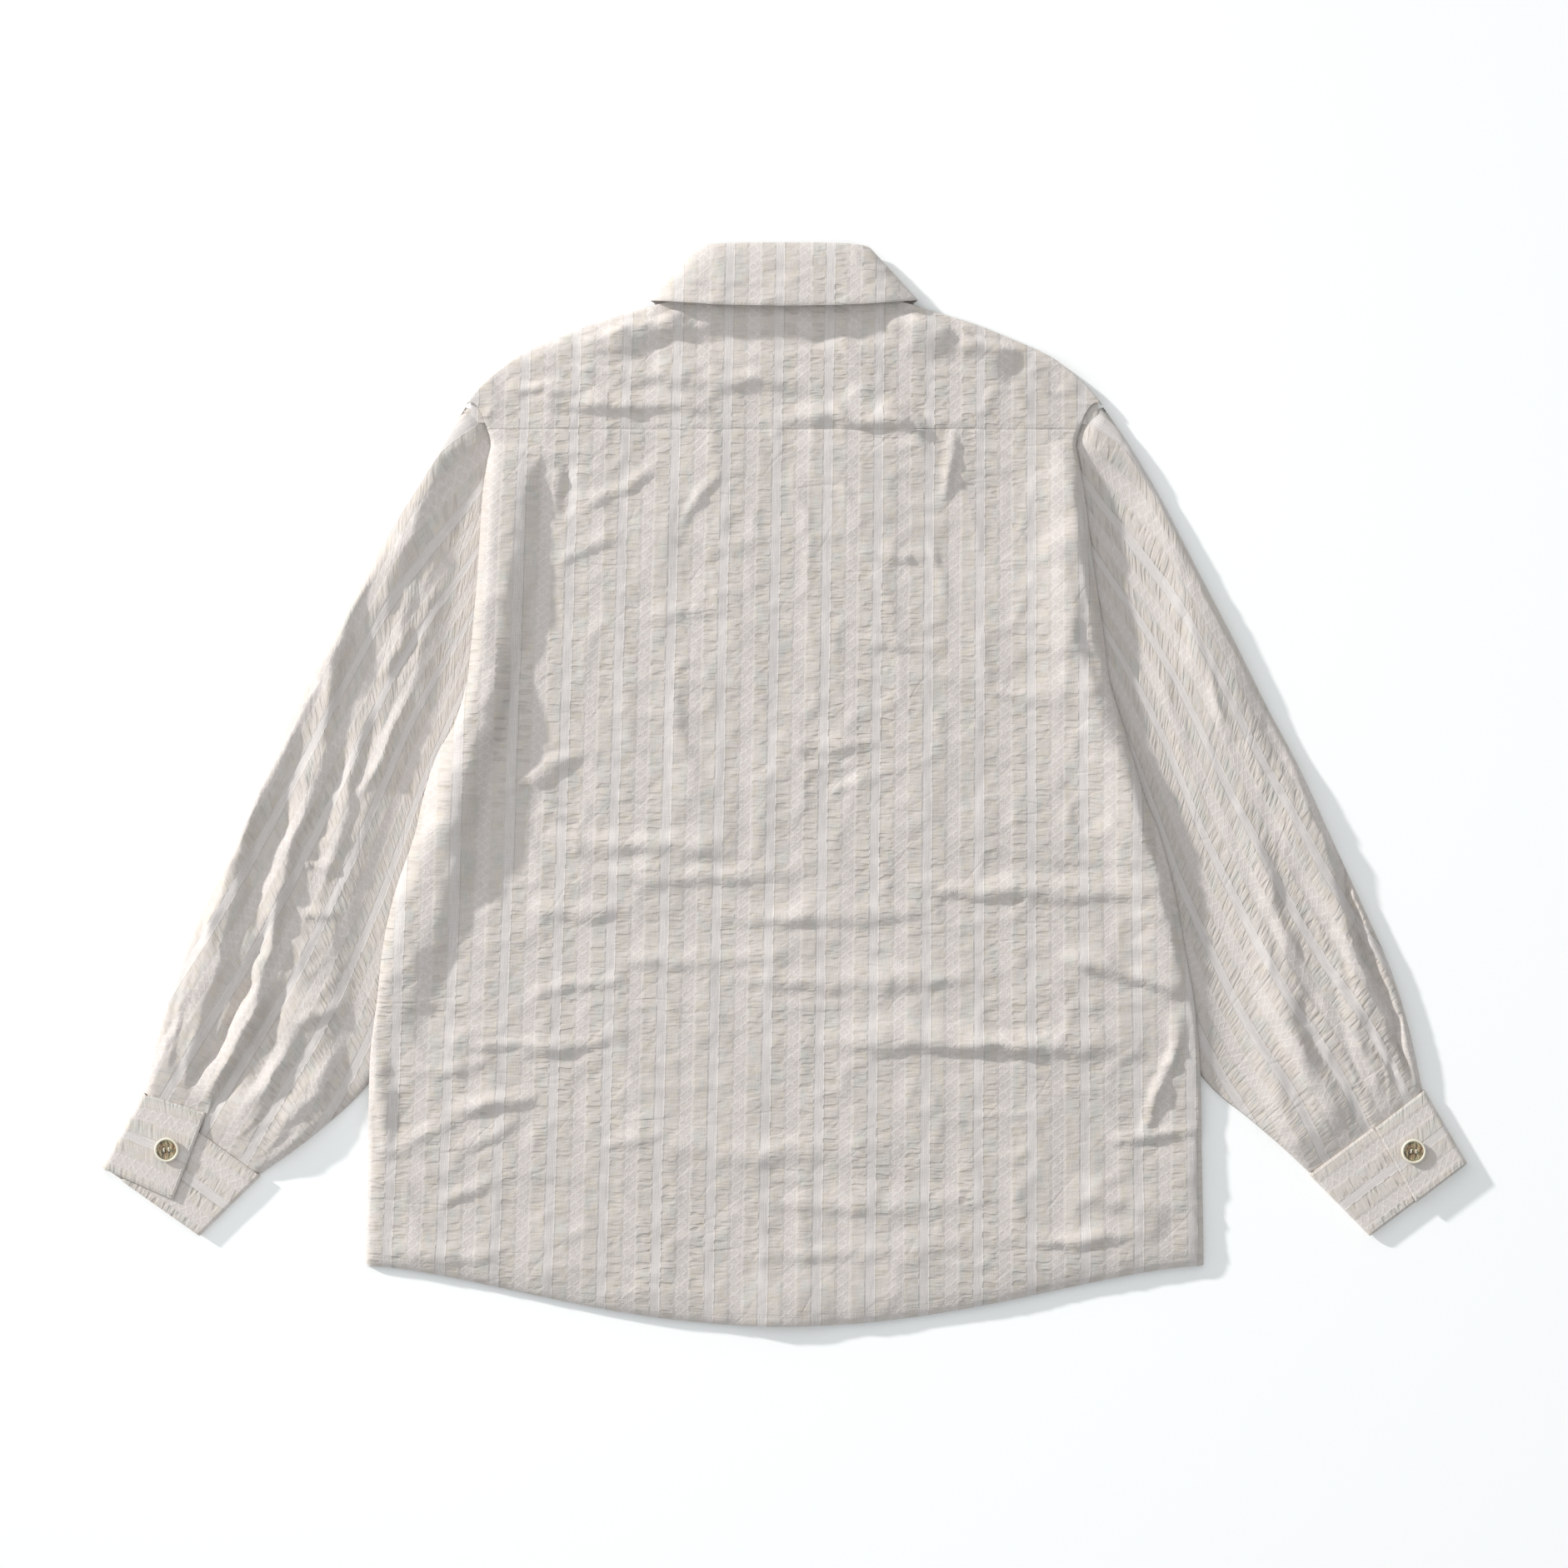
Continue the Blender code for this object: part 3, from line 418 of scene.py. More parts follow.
SLEEVE_RIGHT_FOLDS = fold_table(
    (364, 24, 404, -103, 444, -220, 5.5, 22, 7, 1100),
    (377, 6, 419, -110, 453, -220, -5.5, 4, 5, 900),
    (426, -186, 436, -212, 445, -236, -3.0, 5, 5, 900),
    (336, -94, 364, -185, 405, -252, 5.0, 17, 14, 1100),
    (252, 122, 290, 45, 300, -62, 4.2, 9, 10),
    (299, -160, 311, -182, 330, -204, 3.2, 8, 8),
    (258, 205, 322, 80, 376, -60, 3.8, 22, 15, 1200),
    (328, -10, 350, -80, 372, -156, 3.4, 12, 10),
    (312, -116, 326, -170, 366, -248, 3.2, 11, 9),
    (392, -120, 408, -170, 430, -232, 2.6, 9, 8),
    (285, 130, 305, 80, 322, 30, 2.2, 8, 7),
)

# Light: plan direction, elevation and apparent width in degrees of the key, then the soft light and the room
LIGHT_FROM = np.array([-0.84, 0.543])
KEY_ELEVATION = 17.5
KEY_WIDTH = 3.0
KEY_ENERGY = 3.25
KEY_COLOUR = (1.0, 0.985, 0.965)
SOFT_LIGHT_AT = (-0.5, 0.3, 0.9)
SOFT_LIGHT_SIZE = 1.2
SOFT_LIGHT_POWER = 3.2
ROOM_COLOUR = (0.97, 1.0, 1.02, 1.0)
ROOM_STRENGTH = 0.53
FLOOR_COLOUR = (0.935, 0.95, 0.945, 1.0)
FLOOR_GLOW = 0.11
FLOOR_SIZE = 12.0
FLOOR_Z = -0.3 * MM

# Camera straight above, with the photograph's frame at the size of one of its pixels
LENS, SENSOR = 85.0, 36.0
FRAME_WIDTH = 1882 * 0.6 * MM


def spread(count):
    return np.linspace(0.0, 1.0, count)


def smooth_step(value):
    part = np.clip(value, 0.0, 1.0)
    return part * part * (3.0 - 2.0 * part)


def quarter_round(part):
    """Height of a rounded edge, from 0 at the edge to 1 where the roll ends."""
    rest = 1.0 - np.clip(part, 0.0, 1.0)
    return np.sqrt(np.maximum(0.0, 1.0 - rest * rest))


def through(xs, ys, x):
    """Smooth curve through the points, with no overshoot between them."""
    run = np.diff(xs)
    slope = np.diff(ys) / run
    both = slope[1:] * slope[:-1]
    total = np.where(both > 0, slope[1:] + slope[:-1], 1.0)
    middle = np.where(both > 0, 2 * both / total, 0.0)
    tangent = np.concatenate([slope[:1], middle, slope[-1:]])
    x = np.clip(x, xs[0], xs[-1])
    i = np.clip(np.searchsorted(xs, x) - 1, 0, len(run) - 1)
    t = (x - xs[i]) / run[i]
    rise = ys[i + 1] - ys[i]
    first, last = tangent[i] * run[i], tangent[i + 1] * run[i]
    return ys[i] + t * (first + t * (3 * rise - 2 * first - last + t * (first + last - 2 * rise)))


def body_edge(x, y):
    """Distance of the body's side edge from the middle, on the side where x is."""
    left = through(BODY_EDGE["y"], BODY_EDGE["left"], y)
    right = through(BODY_EDGE["y"], BODY_EDGE["right"], y)
    return np.where(x < 0, left, right)


def hem_y(x):
    inside = np.maximum(0.0, 1.0 - (x / HEM_HALF) ** 2)
    return HEM_CORNER_Y - HEM_DEPTH * inside**HEM_POWER


def yoke_top_y(x):
    return through(YOKE_TOP["x"], YOKE_TOP["y"], np.abs(x))


def front_top_y(x):
    return through(FRONT_TOP["x"], FRONT_TOP["y"], np.abs(x)) - FRONT_TOP_INSET


def armhole_x(y):
    """Distance of the armhole seam from the middle, level with y, and of the hidden sleeve edge below it."""
    top_x, top_y = SLEEVE_OUTER["left_x"][0], SLEEVE_OUTER["left_y"][0]
    low_x, low_y = SLEEVE_INNER["left_x"][0], SLEEVE_INNER["left_y"][0]
    down = np.clip((top_y - y) / (top_y - low_y), 0.0, 1.0)
    seam = top_x + (low_x - top_x) * down - armhole_bow(down)
    below = through(-SLEEVE_INNER["left_y"], SLEEVE_INNER["left_x"], -y)
    return np.where(y > low_y, seam, below)


def armhole_bow(down):
    return ARMHOLE_BOW * np.sin(math.pi * down**ARMHOLE_BOW_POWER)


def bed(x, y):
    """Underside of the fronts: the surface, or what lies between it and them."""
    sleeve = SLEEVE_UNDER + 2 * SEAM
    over_sleeve = sleeve * smooth_step(1.0 + (np.abs(x) - armhole_x(y) + BED_MARGIN) / BED_RAMP)
    collar_x = smooth_step(1.0 - (np.abs(x) - COLLAR_REACH_X) / COLLAR_RAMP)
    collar_y = smooth_step(1.0 + (y - COLLAR_REACH_Y) / COLLAR_RAMP)
    over_collar = COLLAR_UNDER * collar_x * collar_y
    over_buttons = BUTTON_UNDER * smooth_step(1.0 - (np.abs(x) - BUTTON_RADIUS - MM) / BUTTON_RAMP)
    return np.maximum(np.maximum(over_sleeve, over_collar), over_buttons)


def slope_of(height, x, y):
    across = (height(x + SLOPE_STEP, y) - height(x - SLOPE_STEP, y)) / (2 * SLOPE_STEP)
    along = (height(x, y + SLOPE_STEP) - height(x, y - SLOPE_STEP)) / (2 * SLOPE_STEP)
    return np.sqrt(1.0 + across**2 + along**2)


def over_front(x, y):
    """Height that clears one layer of the fronts."""
    return bed(x, y) + CAD_CLOTH * slope_of(bed, x, y) + SEAM


def lap(x):
    """Share of the second front layer, which is whole where the fronts overlap."""
    return smooth_step(1.0 - (np.abs(x) - FRONT_LAP - MM) / FRONT_LAP_RAMP)


def right_front_under(x, y):
    return bed(x, y) + (over_front(x, y) - bed(x, y)) * lap(x)


def over_fronts(x, y):
    return over_front(x, y) + (CAD_CLOTH + SEAM) * lap(x)


def fold_height(folds, x, y):
    """Sum of soft ridges and troughs, each tapered to its ends and uneven along its run."""
    total = np.zeros_like(x)
    x, y = pushed(x, y, FOLD_PUSHES, seed=61)
    steps = spread(FOLD_STEPS)
    for order, row in enumerate(zip(*folds.values())):
        from_x, from_y, via_x, via_y, to_x, to_y, height, near, far, top = row
        crest_x = (1 - steps) ** 2 * from_x + 2 * steps * (1 - steps) * via_x + steps**2 * to_x
        crest_y = (1 - steps) ** 2 * from_y + 2 * steps * (1 - steps) * via_y + steps**2 * to_y
        reach = max(near, far) * FOLD_MARGIN
        close = (x > crest_x.min() - reach) & (x < crest_x.max() + reach)
        close &= (y > crest_y.min() - reach) & (y < crest_y.max() + reach)
        if not close.any():
            continue
        at_x, at_y = x[close], y[close]
        best = np.full_like(at_x, 1e9)
        at = np.zeros_like(at_x)
        lit = np.zeros_like(at_x)
        for k in range(len(steps) - 1):
            run_x, run_y = crest_x[k + 1] - crest_x[k], crest_y[k + 1] - crest_y[k]
            part = ((at_x - crest_x[k]) * run_x + (at_y - crest_y[k]) * run_y) / (run_x**2 + run_y**2)
            part = np.clip(part, 0.0, 1.0)
            away_x, away_y = at_x - crest_x[k] - part * run_x, at_y - crest_y[k] - part * run_y
            far_off = np.hypot(away_x, away_y)
            nearer = far_off < best
            best = np.where(nearer, far_off, best)
            at = np.where(nearer, steps[k] + part / (len(steps) - 1), at)
            lit = np.where(nearer, away_x * LIGHT_FROM[0] + away_y * LIGHT_FROM[1], lit)
        half = np.where(lit > 0, near, far) * uneven(at, order, FOLD_WIDTH_WAVES)
        share = np.clip(best / half, 0.0, 1.0) ** (top / (1000 * MM))
        ends = np.sin(math.pi * np.clip(at, 0.0, 1.0)) ** FOLD_TAPER
        profile = np.cos(0.5 * math.pi * share) ** 2
        total[close] += height * uneven(at, order, FOLD_HEIGHT_WAVES) * ends * profile
    return total


def uneven(at, order, waves):
    """Factor near 1 that changes along a fold, in another way for each."""
    return 1.0 + sum(share * np.sin(turns * at + shift * order) for share, turns, shift in waves)


def pushed(x, y, pushes, seed):
    """Places pushed a little off their own, so that a fold drawn through them isn't quite smooth."""
    across = sum(far * value_noise(x, y, size, seed + k) for k, (far, size, _) in enumerate(pushes))
    along = sum(far * value_noise(x, y, size, seed + 2 + k) for k, (far, _, size) in enumerate(pushes))
    return x + across, y + along


def value_noise(x, y, cell, seed):
    """Smooth random height from -1 to 1 with bumps about one cell wide."""
    size = 61
    grid = np.random.RandomState(seed).uniform(-1.0, 1.0, (size, size))
    across, along = x / cell, y / cell
    i, j = np.floor(across).astype(int), np.floor(along).astype(int)
    s, t = across - i, along - j
    s, t = s * s * (3 - 2 * s), t * t * (3 - 2 * t)
    low = grid[i % size, j % size] * (1 - s) + grid[(i + 1) % size, j % size] * s
    high = grid[i % size, (j + 1) % size] * (1 - s) + grid[(i + 1) % size, (j + 1) % size] * s
    return low * (1 - t) + high * t


def crumple(x, y, stretch_x, stretch_y, seed):
    """Small soft creases of worn cloth, longer along the more stretched way."""
    x, y = pushed(x, y, CRUMPLE_PUSHES, seed)
    broad, crease, fine = (
        value_noise(x / stretch_x, y / stretch_y, size, seed + 4 + k) for k, size in enumerate(CRUMPLE_SIZES)
    )
    crease = CREASE_HEIGHT * ((1.0 - np.abs(crease)) ** CREASE_SHARP - CREASE_MEAN)
    fine = FINE_HEIGHT * ((1.0 - np.abs(fine)) ** FINE_SHARP - FINE_MEAN)
    return BROAD_HEIGHT * broad + crease + fine


def pucker(x, y, seed):
    """Seersucker: the crinkled columns between the flat stripes rise and fall in short waves."""
    place = np.abs((repeats(x, y) + 0.5) % 1.0 - 0.5) * REPEAT
    column = smooth_step((place - PUCKER_START) / MM) * (1.0 - smooth_step((place - PUCKER_END) / MM))
    wave = value_noise(x / PUCKER_WIDE, y, PUCKER_SIZE, seed)
    wave = wave + PUCKER_LONG_SHARE * value_noise(x / PUCKER_WIDE, y, PUCKER_LONG_SIZE, seed + 1)
    return PUCKER_HEIGHT * column * wave


def repeats(x, y):
    """How many stripe repeats a point of the body is from the middle stripe."""
    down = (STRIPE_TOP_Y - y) / (STRIPE_TOP_Y - STRIPE_LOW_Y)
    middle = STRIPE_TOP_X + (STRIPE_LOW_X - STRIPE_TOP_X) * down
    return (x - middle) / (REPEAT_TOP + (REPEAT_LOW - REPEAT_TOP) * down)


def back_under(x, y):
    """Underside of the back and the yoke, lying on the fronts and rolled down at its edges."""
    side = quarter_round((body_edge(x, y) - np.abs(x)) / SIDE_ROLL)
    neck = NECK_OPEN * (1.0 - smooth_step((np.abs(x) - NECK_HALF) / NECK_FADE))
    shoulder = quarter_round((SHOULDER_SLANT * (yoke_top_y(x) - y) + neck) / SIDE_ROLL)
    hem = HEM_LIFT + (1.0 - HEM_LIFT) * quarter_round((y - hem_y(x)) / HEM_ROLL)
    creases = crumple(x, y, stretch_x=1.5, stretch_y=1.0, seed=11)
    folds = fold_height(BODY_FOLDS, x, y) + creases + pucker(x, y, seed=31)
    over_edge = (EDGE_DROP_REACH - body_edge(x, y) + np.abs(x)) / EDGE_DROP_REACH
    low = over_fronts(x, y) - EDGE_DROP * smooth_step(over_edge)
    air = np.maximum(0.0, BACK_LEVEL - low + folds)
    return low + air * np.minimum(side, shoulder) * hem


def sleeve_folds(x, y):
    left = fold_height(SLEEVE_LEFT_FOLDS, x, y)
    right = fold_height(SLEEVE_RIGHT_FOLDS, x, y)
    return np.where(x < 0, left, right)


def along_curve(xs, ys, share):
    run = np.concatenate([[0.0], np.cumsum(np.hypot(np.diff(xs), np.diff(ys)))])
    run = run / run[-1]
    return through(run, xs, share), through(run, ys, share)


def sleeve_edges(side, along):
    """Points of a sleeve's outer and inner edge, along from the armhole to the cuff."""
    return [along_curve(edge[side + "_x"], edge[side + "_y"], along) for edge in (SLEEVE_OUTER, SLEEVE_INNER)]


def sleeve_point(side, along, across, top):
    """Plan position on a sleeve: along it to the cuff, and across from its outer to its inner edge."""
    (outer_x, outer_y), (inner_x, inner_y) = sleeve_edges(side, along)
    x = outer_x + (inner_x - outer_x) * across
    y = outer_y + (inner_y - outer_y) * across
    inside = smooth_step(across / BOW_EDGE_WIDTH)
    reach = ARMHOLE_BOW_REACH * (BOW_AT_EDGE + (1.0 - BOW_AT_EDGE) * inside)
    x = x - armhole_bow(across) * (1.0 - smooth_step(along / reach))
    if top:
        shift_x, shift_y = vent_shift(side, across)
        near_cuff = smooth_step((along - 1.0 + VENT_REACH) / VENT_REACH) ** 2
        tuck_x, tuck_y = tuck_in(side, along, across)
        x = x + shift_x * near_cuff + tuck_x
        y = y + shift_y * near_cuff + tuck_y
    return x, y


def cuff_corners(side):
    return np.stack([CUFF_CORNER[side + "_x"], CUFF_CORNER[side + "_y"]], 1)


def tuck_in(side, along, across):
    """How far the end of a sleeve's upper layer runs on beneath the edge of the cuff."""
    corner = cuff_corners(side)
    outer, inner = corner[OUTER_BOTTOM] - corner[OUTER_TOP], corner[INNER_BOTTOM] - corner[INNER_TOP]
    reach = TUCK * sleeve_end(along) * smooth_step(np.minimum(across, 1.0 - across) / TUCK_EDGE)
    way = [outer[k] + (inner[k] - outer[k]) * across for k in range(2)]
    length = np.hypot(*way)
    return way[0] / length * reach, way[1] / length * reach


def sleeve_end(along):
    return smooth_step((along - 1.0 + TUCK_REACH) / TUCK_REACH)


def vent_shift(side, across):
    """How far the flap pulls the upper layer of the sleeve away from the straight cuff seam."""
    corner = cuff_corners(side)
    end = flap_share(side)
    on_seam = corner[OUTER_TOP] + (corner[INNER_TOP] - corner[OUTER_TOP]) * end
    pull = VENT_PULL * np.clip(np.minimum(across / end, 1.0 - (across - end) / VENT_END), 0.0, 1.0)
    return [shift * pull for shift in corner[FLAP_TOP] - on_seam]


def flap_share(side):
    """Where the end of the flap falls, as a share of the cuff's width."""
    corner = cuff_corners(side)
    run, far = corner[INNER_TOP] - corner[OUTER_TOP], corner[FLAP_TOP] - corner[OUTER_TOP]
    return (far * run).sum() / (run**2).sum()


def sleeve_height(side, along, across, x, y):
    """Upper surface of a sleeve: thin beneath the body, fuller beside it."""
    sign = SIGN[side]
    by_tip = smooth_step((y - SHOULDER_LOW) / SHOULDER_FADE)
    clear = SLEEVE_CLEAR[side] + (SHOULDER_CLEAR - SLEEVE_CLEAR[side]) * by_tip
    rise = SLEEVE_RISE[side] + (SHOULDER_RISE - SLEEVE_RISE[side]) * by_tip
    past_edge = x - body_edge(sign * x, y)
    beside = smooth_step((past_edge - clear) / rise)
    run_x, run_y = SLEEVE_CREASE_WIDTH * across, SLEEVE_CREASE_LENGTH * along
    creases = crumple(run_x, run_y, stretch_x=0.8, stretch_y=2.4, seed=51)
    creases = creases + 0.5 * crumple(sign * x, y, stretch_x=1.0, stretch_y=1.2, seed=71)
    folds = sleeve_folds(sign * x, y) + SLEEVE_CREASED * creases
    full = np.maximum(SLEEVE_THIN, SLEEVE_OPEN - SLEEVE_UNDER + folds)
    near_cuff = smooth_step((along - 1.0 + CUFF_REACH) / CUFF_REACH)
    on_flap = smooth_step(1.0 + (flap_share(side) - across) / VENT_END)
    end = CUFF_INSIDE + CUFF_BOTTOM + (CUFF_FLAP - CUFF_INSIDE) * on_flap - TUCK_DROP * sleeve_end(along)
    full = full * (1.0 - near_cuff) + (end - SLEEVE_UNDER) * near_cuff
    dip = SLEEVE_DIP[side] * smooth_step(past_edge / SLEEVE_CLEAR[side]) * (1.0 - beside)
    height = SLEEVE_UNDER - dip + beside * full
    (outer_x, outer_y), (inner_x, inner_y) = sleeve_edges(side, along)
    width = np.hypot(inner_x - outer_x, inner_y - outer_y)
    edge = np.minimum(across, 1.0 - across) * width
    tip_edge = (SHOULDER_EDGE - SLEEVE_EDGE) * (1.0 - smooth_step(along / SHOULDER_REACH))
    edge_height = SLEEVE_EDGE + tip_edge * (across < 0.5)
    return edge_height + (height - edge_height) * quarter_round(edge / SLEEVE_ROLL)


class Value:
    """A number in a shader, on which Python expressions work."""

    def __init__(self, shader, socket):
        self.shader, self.socket = shader, socket

    def math(self, operation, *others):
        """A Math node on this value and the others."""
        node = self.shader.tree.nodes.new("ShaderNodeMath")
        node.operation = operation
        for place, value in enumerate((self, *others)):
            self.shader.put(node.inputs[place], value)
        return Value(self.shader, node.outputs[0])

    __add__ = __radd__ = partialmethod(math, "ADD")
    __sub__ = partialmethod(math, "SUBTRACT")
    __mul__ = __rmul__ = partialmethod(math, "MULTIPLY")
    __truediv__ = partialmethod(math, "DIVIDE")
    __pow__ = partialmethod(math, "POWER")
    __abs__ = partialmethod(math, "ABSOLUTE")
    fraction = partialmethod(math, "FRACT")
    sine = partialmethod(math, "SINE")

    def __rsub__(self, other):
        return self * -1.0 + other

    def clip(self):
        return self.math("MINIMUM", 1.0).math("MAXIMUM", 0.0)

    def band(self, centre, half, soft):
        """1 within half of the centre, falling to 0 over soft."""
        return (0.5 + (half - abs(self - centre)) / soft).clip()

    def above(self, edge, soft):
        """0 below the edge and 1 above it, with a soft step between."""
        return (0.5 + (self - edge) / soft).clip()


class Shader:
    """One material and its node tree."""

    def __init__(self, name, roughness):
        self.material = bpy.data.materials.new(name)
        self.material.use_nodes = True
        self.tree = self.material.node_tree
        self.surface = self.tree.nodes["Principled BSDF"]
        self.feed("Roughness", roughness)

    def feed(self, name, value):
        self.put(self.surface.inputs[name], value)

    def bump(self, strength, distance, height):
        inputs = {"Strength": strength, "Distance": distance, "Height": height}
        self.feed("Normal", self.node("ShaderNodeBump", {}, inputs))

    def put(self, socket, value):
        if isinstance(value, Value):
            self.tree.links.new(value.socket, socket)
        elif isinstance(value, bpy.types.NodeSocket):
            self.tree.links.new(value, socket)
        else:
            socket.default_value = value

    def node(self, kind, settings, inputs, output=0):
        made = self.tree.nodes.new(kind)
        for name, value in settings.items():
            setattr(made, name, value)
        for name, value in inputs.items():
            self.put(made.inputs[name], value)
        return made.outputs[output]

    def map(self, name):
        """Both coordinates of a UV map, in millimetres."""
        place = self.node("ShaderNodeUVMap", {"uv_map": name}, {})
        split = self.node("ShaderNodeSeparateXYZ", {}, {0: place}).node
        return [Value(self, split.outputs[k]) * 1000.0 for k in range(2)]

    def vector(self, x, y, z=0.0):
        return self.node("ShaderNodeCombineXYZ", {}, {0: x, 1: y, 2: z})

    def noise(self, x, y, seed, detail=2.0):
        inputs = {"Vector": self.vector(x, y, seed), "Scale": 1.0, "Detail": detail}
        return Value(self, self.node("ShaderNodeTexNoise", {}, inputs))

    def wrinkles(self, x, y, seed):
        """Short narrow creases, where a smooth field crosses its middle and a second one lets them show."""
        line = 1.0 - abs(self.noise(x, y, seed, 1.0) - 0.5) * 15.0
        return line.clip() * self.noise(x * 1.6, y * 0.5, seed + 1.0, 1.0).above(0.6, 0.12)

    def mix(self, share, first, second):
        return self.node("ShaderNodeMix", {"data_type": "RGBA"}, {0: share, 6: first, 7: second}, 2)

    def shade(self, colour, amount):
        """The colour made lighter or darker by a factor."""
        both = self.vector(amount, amount, amount)
        return self.node("ShaderNodeVectorMath", {"operation": "MULTIPLY"}, {0: colour, 1: both})


def linear(red, green, blue):
    """Scene colour of a colour read off a screen."""
    part = [c / 255.0 for c in (red, green, blue)]
    return (*[c / 12.92 if c <= 0.04045 else ((c + 0.055) / 1.055) ** 2.4 for c in part], 1.0)


GROUND = linear(210, 202, 197)
CRINKLE = linear(208, 200, 194)
SATIN = linear(207, 202, 200)
SATIN_LINE = linear(225, 222, 219)
FIGURE = linear(221, 215, 212)
YELLOW = linear(206, 198, 178)
GREEN = linear(190, 197, 193)
# Painted shade: the dark colour mixed into the cloth in its grooves, creases and sunken stitched folds
GROOVE_SHADE = linear(150, 140, 128)
THREAD = linear(226, 222, 214)
DARK_LINE = linear(168, 163, 160)


def cloth_material(name, stitch_at, creased=1.0, tone=1.0):
    """Woven stripe: flat satin bands, a small lozenge figure and crinkled columns on a slubbed ground, with
    painted shade in the grooves of the crinkled columns, in creases and along stitched folds.
    """
    shader = Shader(name, roughness=0.88)
    across, along = shader.map("Cloth")
    edge, run = shader.map("Seams")
    repeat = REPEAT / MM
    across = across + (shader.noise(across * 0.02, along * 0.03, 1.0) - 0.5) * 1.2

    def noise(scale_across, scale_along, seed, detail=2.0):
        return shader.noise(across * scale_across, along * scale_along, seed, detail)

    place = ((across / repeat + 0.5).fraction() - 0.5) * repeat
    side = abs(place)
    satin = side.band(0.0, SATIN_HALF, 0.9)
    figure_column = side.band(FIGURE_AT, FIGURE_HALF, 2.2)
    crinkle = (1.0 - satin - figure_column).clip()

    patch = noise(0.09, 0.045, 2.0)
    tint = noise(0.16, 0.11, 3.0)
    colour = shader.mix(crinkle, GROUND, CRINKLE)
    colour = shader.mix(tint.above(0.58, 0.08) * crinkle * 0.3, colour, YELLOW)
    colour = shader.mix(patch.above(0.58, 0.08) * crinkle * 0.3, colour, GREEN)

    slant = (place + FIGURE_AT) / LOZENGE_WIDE * 0.5
    step = along / LOZENGE_HIGH
    rising, falling = (abs(line.fraction() - 0.5) for line in (slant + step, slant - step))
    lozenge = rising.math("MINIMUM", falling)
    broken = noise(0.5, 0.45, 4.0)
    figure = (0.13 - lozenge).above(0.0, 0.1) * figure_column * broken.above(0.43, 0.2)
    colour = shader.mix(figure * 0.62, colour, FIGURE)

    satin_lines = ((place / SATIN_LINE_STEP).fraction() - 0.5).band(0.0, 0.2, 0.2) * satin
    thread_length = noise(1.4, 0.05, 5.0).above(0.46, 0.12)
    colour = shader.mix(satin * 0.55, colour, SATIN)
    colour = shader.mix(satin_lines * thread_length * 0.6, colour, SATIN_LINE)
    border = place.band(BORDER_AT, 0.35, 0.4) * noise(0.3, 0.04, 6.0).above(0.4, 0.2)
    colour = shader.mix(border * 0.45, colour, DARK_LINE)

    warp = noise(1.9, 0.09, 7.0, 3.0)
    weft = noise(0.08, 1.7, 8.0, 3.0)
    grain = noise(1.1, 1.1, 9.0, 3.0)
    slub = (0.64 + warp * 0.26 + weft * 0.22 + grain * 0.24) * tone
    colour = shader.shade(colour, slub)

    lively = noise(0.010, 0.009, 20.0, 1.0).above(0.48, 0.4)
    ripple = noise(0.06, 0.19, 10.0, 1.0)
    tick = noise(0.07, 0.26, 11.0, 1.0)
    # Short grooves across the crinkled columns, stronger where lively is high: sunk in the bump and darkened
    # in the colour as painted shade
    groove_and_shade = (tick + (ripple - 0.5) * 0.6).above(0.57, 0.16) * crinkle * (0.12 + lively * 0.88)
    colour = shader.mix(groove_and_shade * 0.22, colour, GROOVE_SHADE)

    wrinkle = shader.wrinkles(across * 0.016, along * 0.07, 14.0)
    wrinkle = wrinkle + 0.7 * shader.wrinkles((across - along) * 0.045, (across + along) * 0.015, 16.0)
    wrinkle = wrinkle * creased
    # Painted shade in the creases
    colour = shader.mix(wrinkle * 0.04, colour, GROOVE_SHADE)

    stitch_row = edge.band(stitch_at, 0.32, 0.25)
    stitch = stitch_row * (run / STITCH_LENGTH).fraction().band(0.5, 0.33, 0.12)
    fold_line = edge.band(stitch_at, 1.3, 1.6)
    # Painted shade in the sunken band along the stitch row
    colour = shader.mix(fold_line * 0.05, colour, GROOVE_SHADE)
    colour = shader.mix(stitch * 0.5, colour, THREAD)
    shader.feed("Base Color", colour)
    shader.feed("Sheen Weight", 0.06)
    shader.feed("Specular IOR Level", 0.25)

    relief = warp * 0.12 + weft * 0.14 + grain * 0.12 + figure * 0.12 + satin * 0.06
    relief = relief + crinkle * (0.7 * noise(0.08, 0.24, 12.0, 1.5) - groove_and_shade * 0.6)
    relief = relief - wrinkle * 0.3
    relief = relief + noise(0.05, 0.05, 13.0, 3.0) * 0.5
    relief = relief - fold_line * 0.12 + stitch * 0.2
    shader.bump(1.0, 0.8 * MM, relief)
    return shader.material


def button_material():
    """Mottled brown and olive horn with a cream rim."""
    shader = Shader("horn_button", roughness=0.32)
    across, along = shader.map("Cloth")
    from_middle = ((across * across) + (along * along)) ** 0.5
    cloud = shader.noise(across * 0.22, along * 0.22, 1.0, 3.0)
    vein = shader.noise(across * 0.5 + cloud * 2.0, along * 0.16, 2.0, 3.0)
    colour = shader.mix(cloud.above(0.5, 0.25), linear(148, 118, 88), linear(128, 128, 98))
    colour = shader.mix(vein.above(0.55, 0.1) * 0.85, colour, linear(74, 66, 50))
    colour = shader.mix(vein.band(0.42, 0.035, 0.05) * 0.8, colour, linear(202, 184, 150))
    rim = from_middle.above(7.1, 0.25)
    colour = shader.mix(rim, colour, linear(233, 227, 208))
    shader.feed("Base Color", colour)
    shader.feed("Roughness", 0.28 + rim * 0.2)
    shader.feed("Coat Weight", 0.25)
    shader.bump(0.4, 0.1 * MM, cloud + vein * 0.4)
    return shader.material


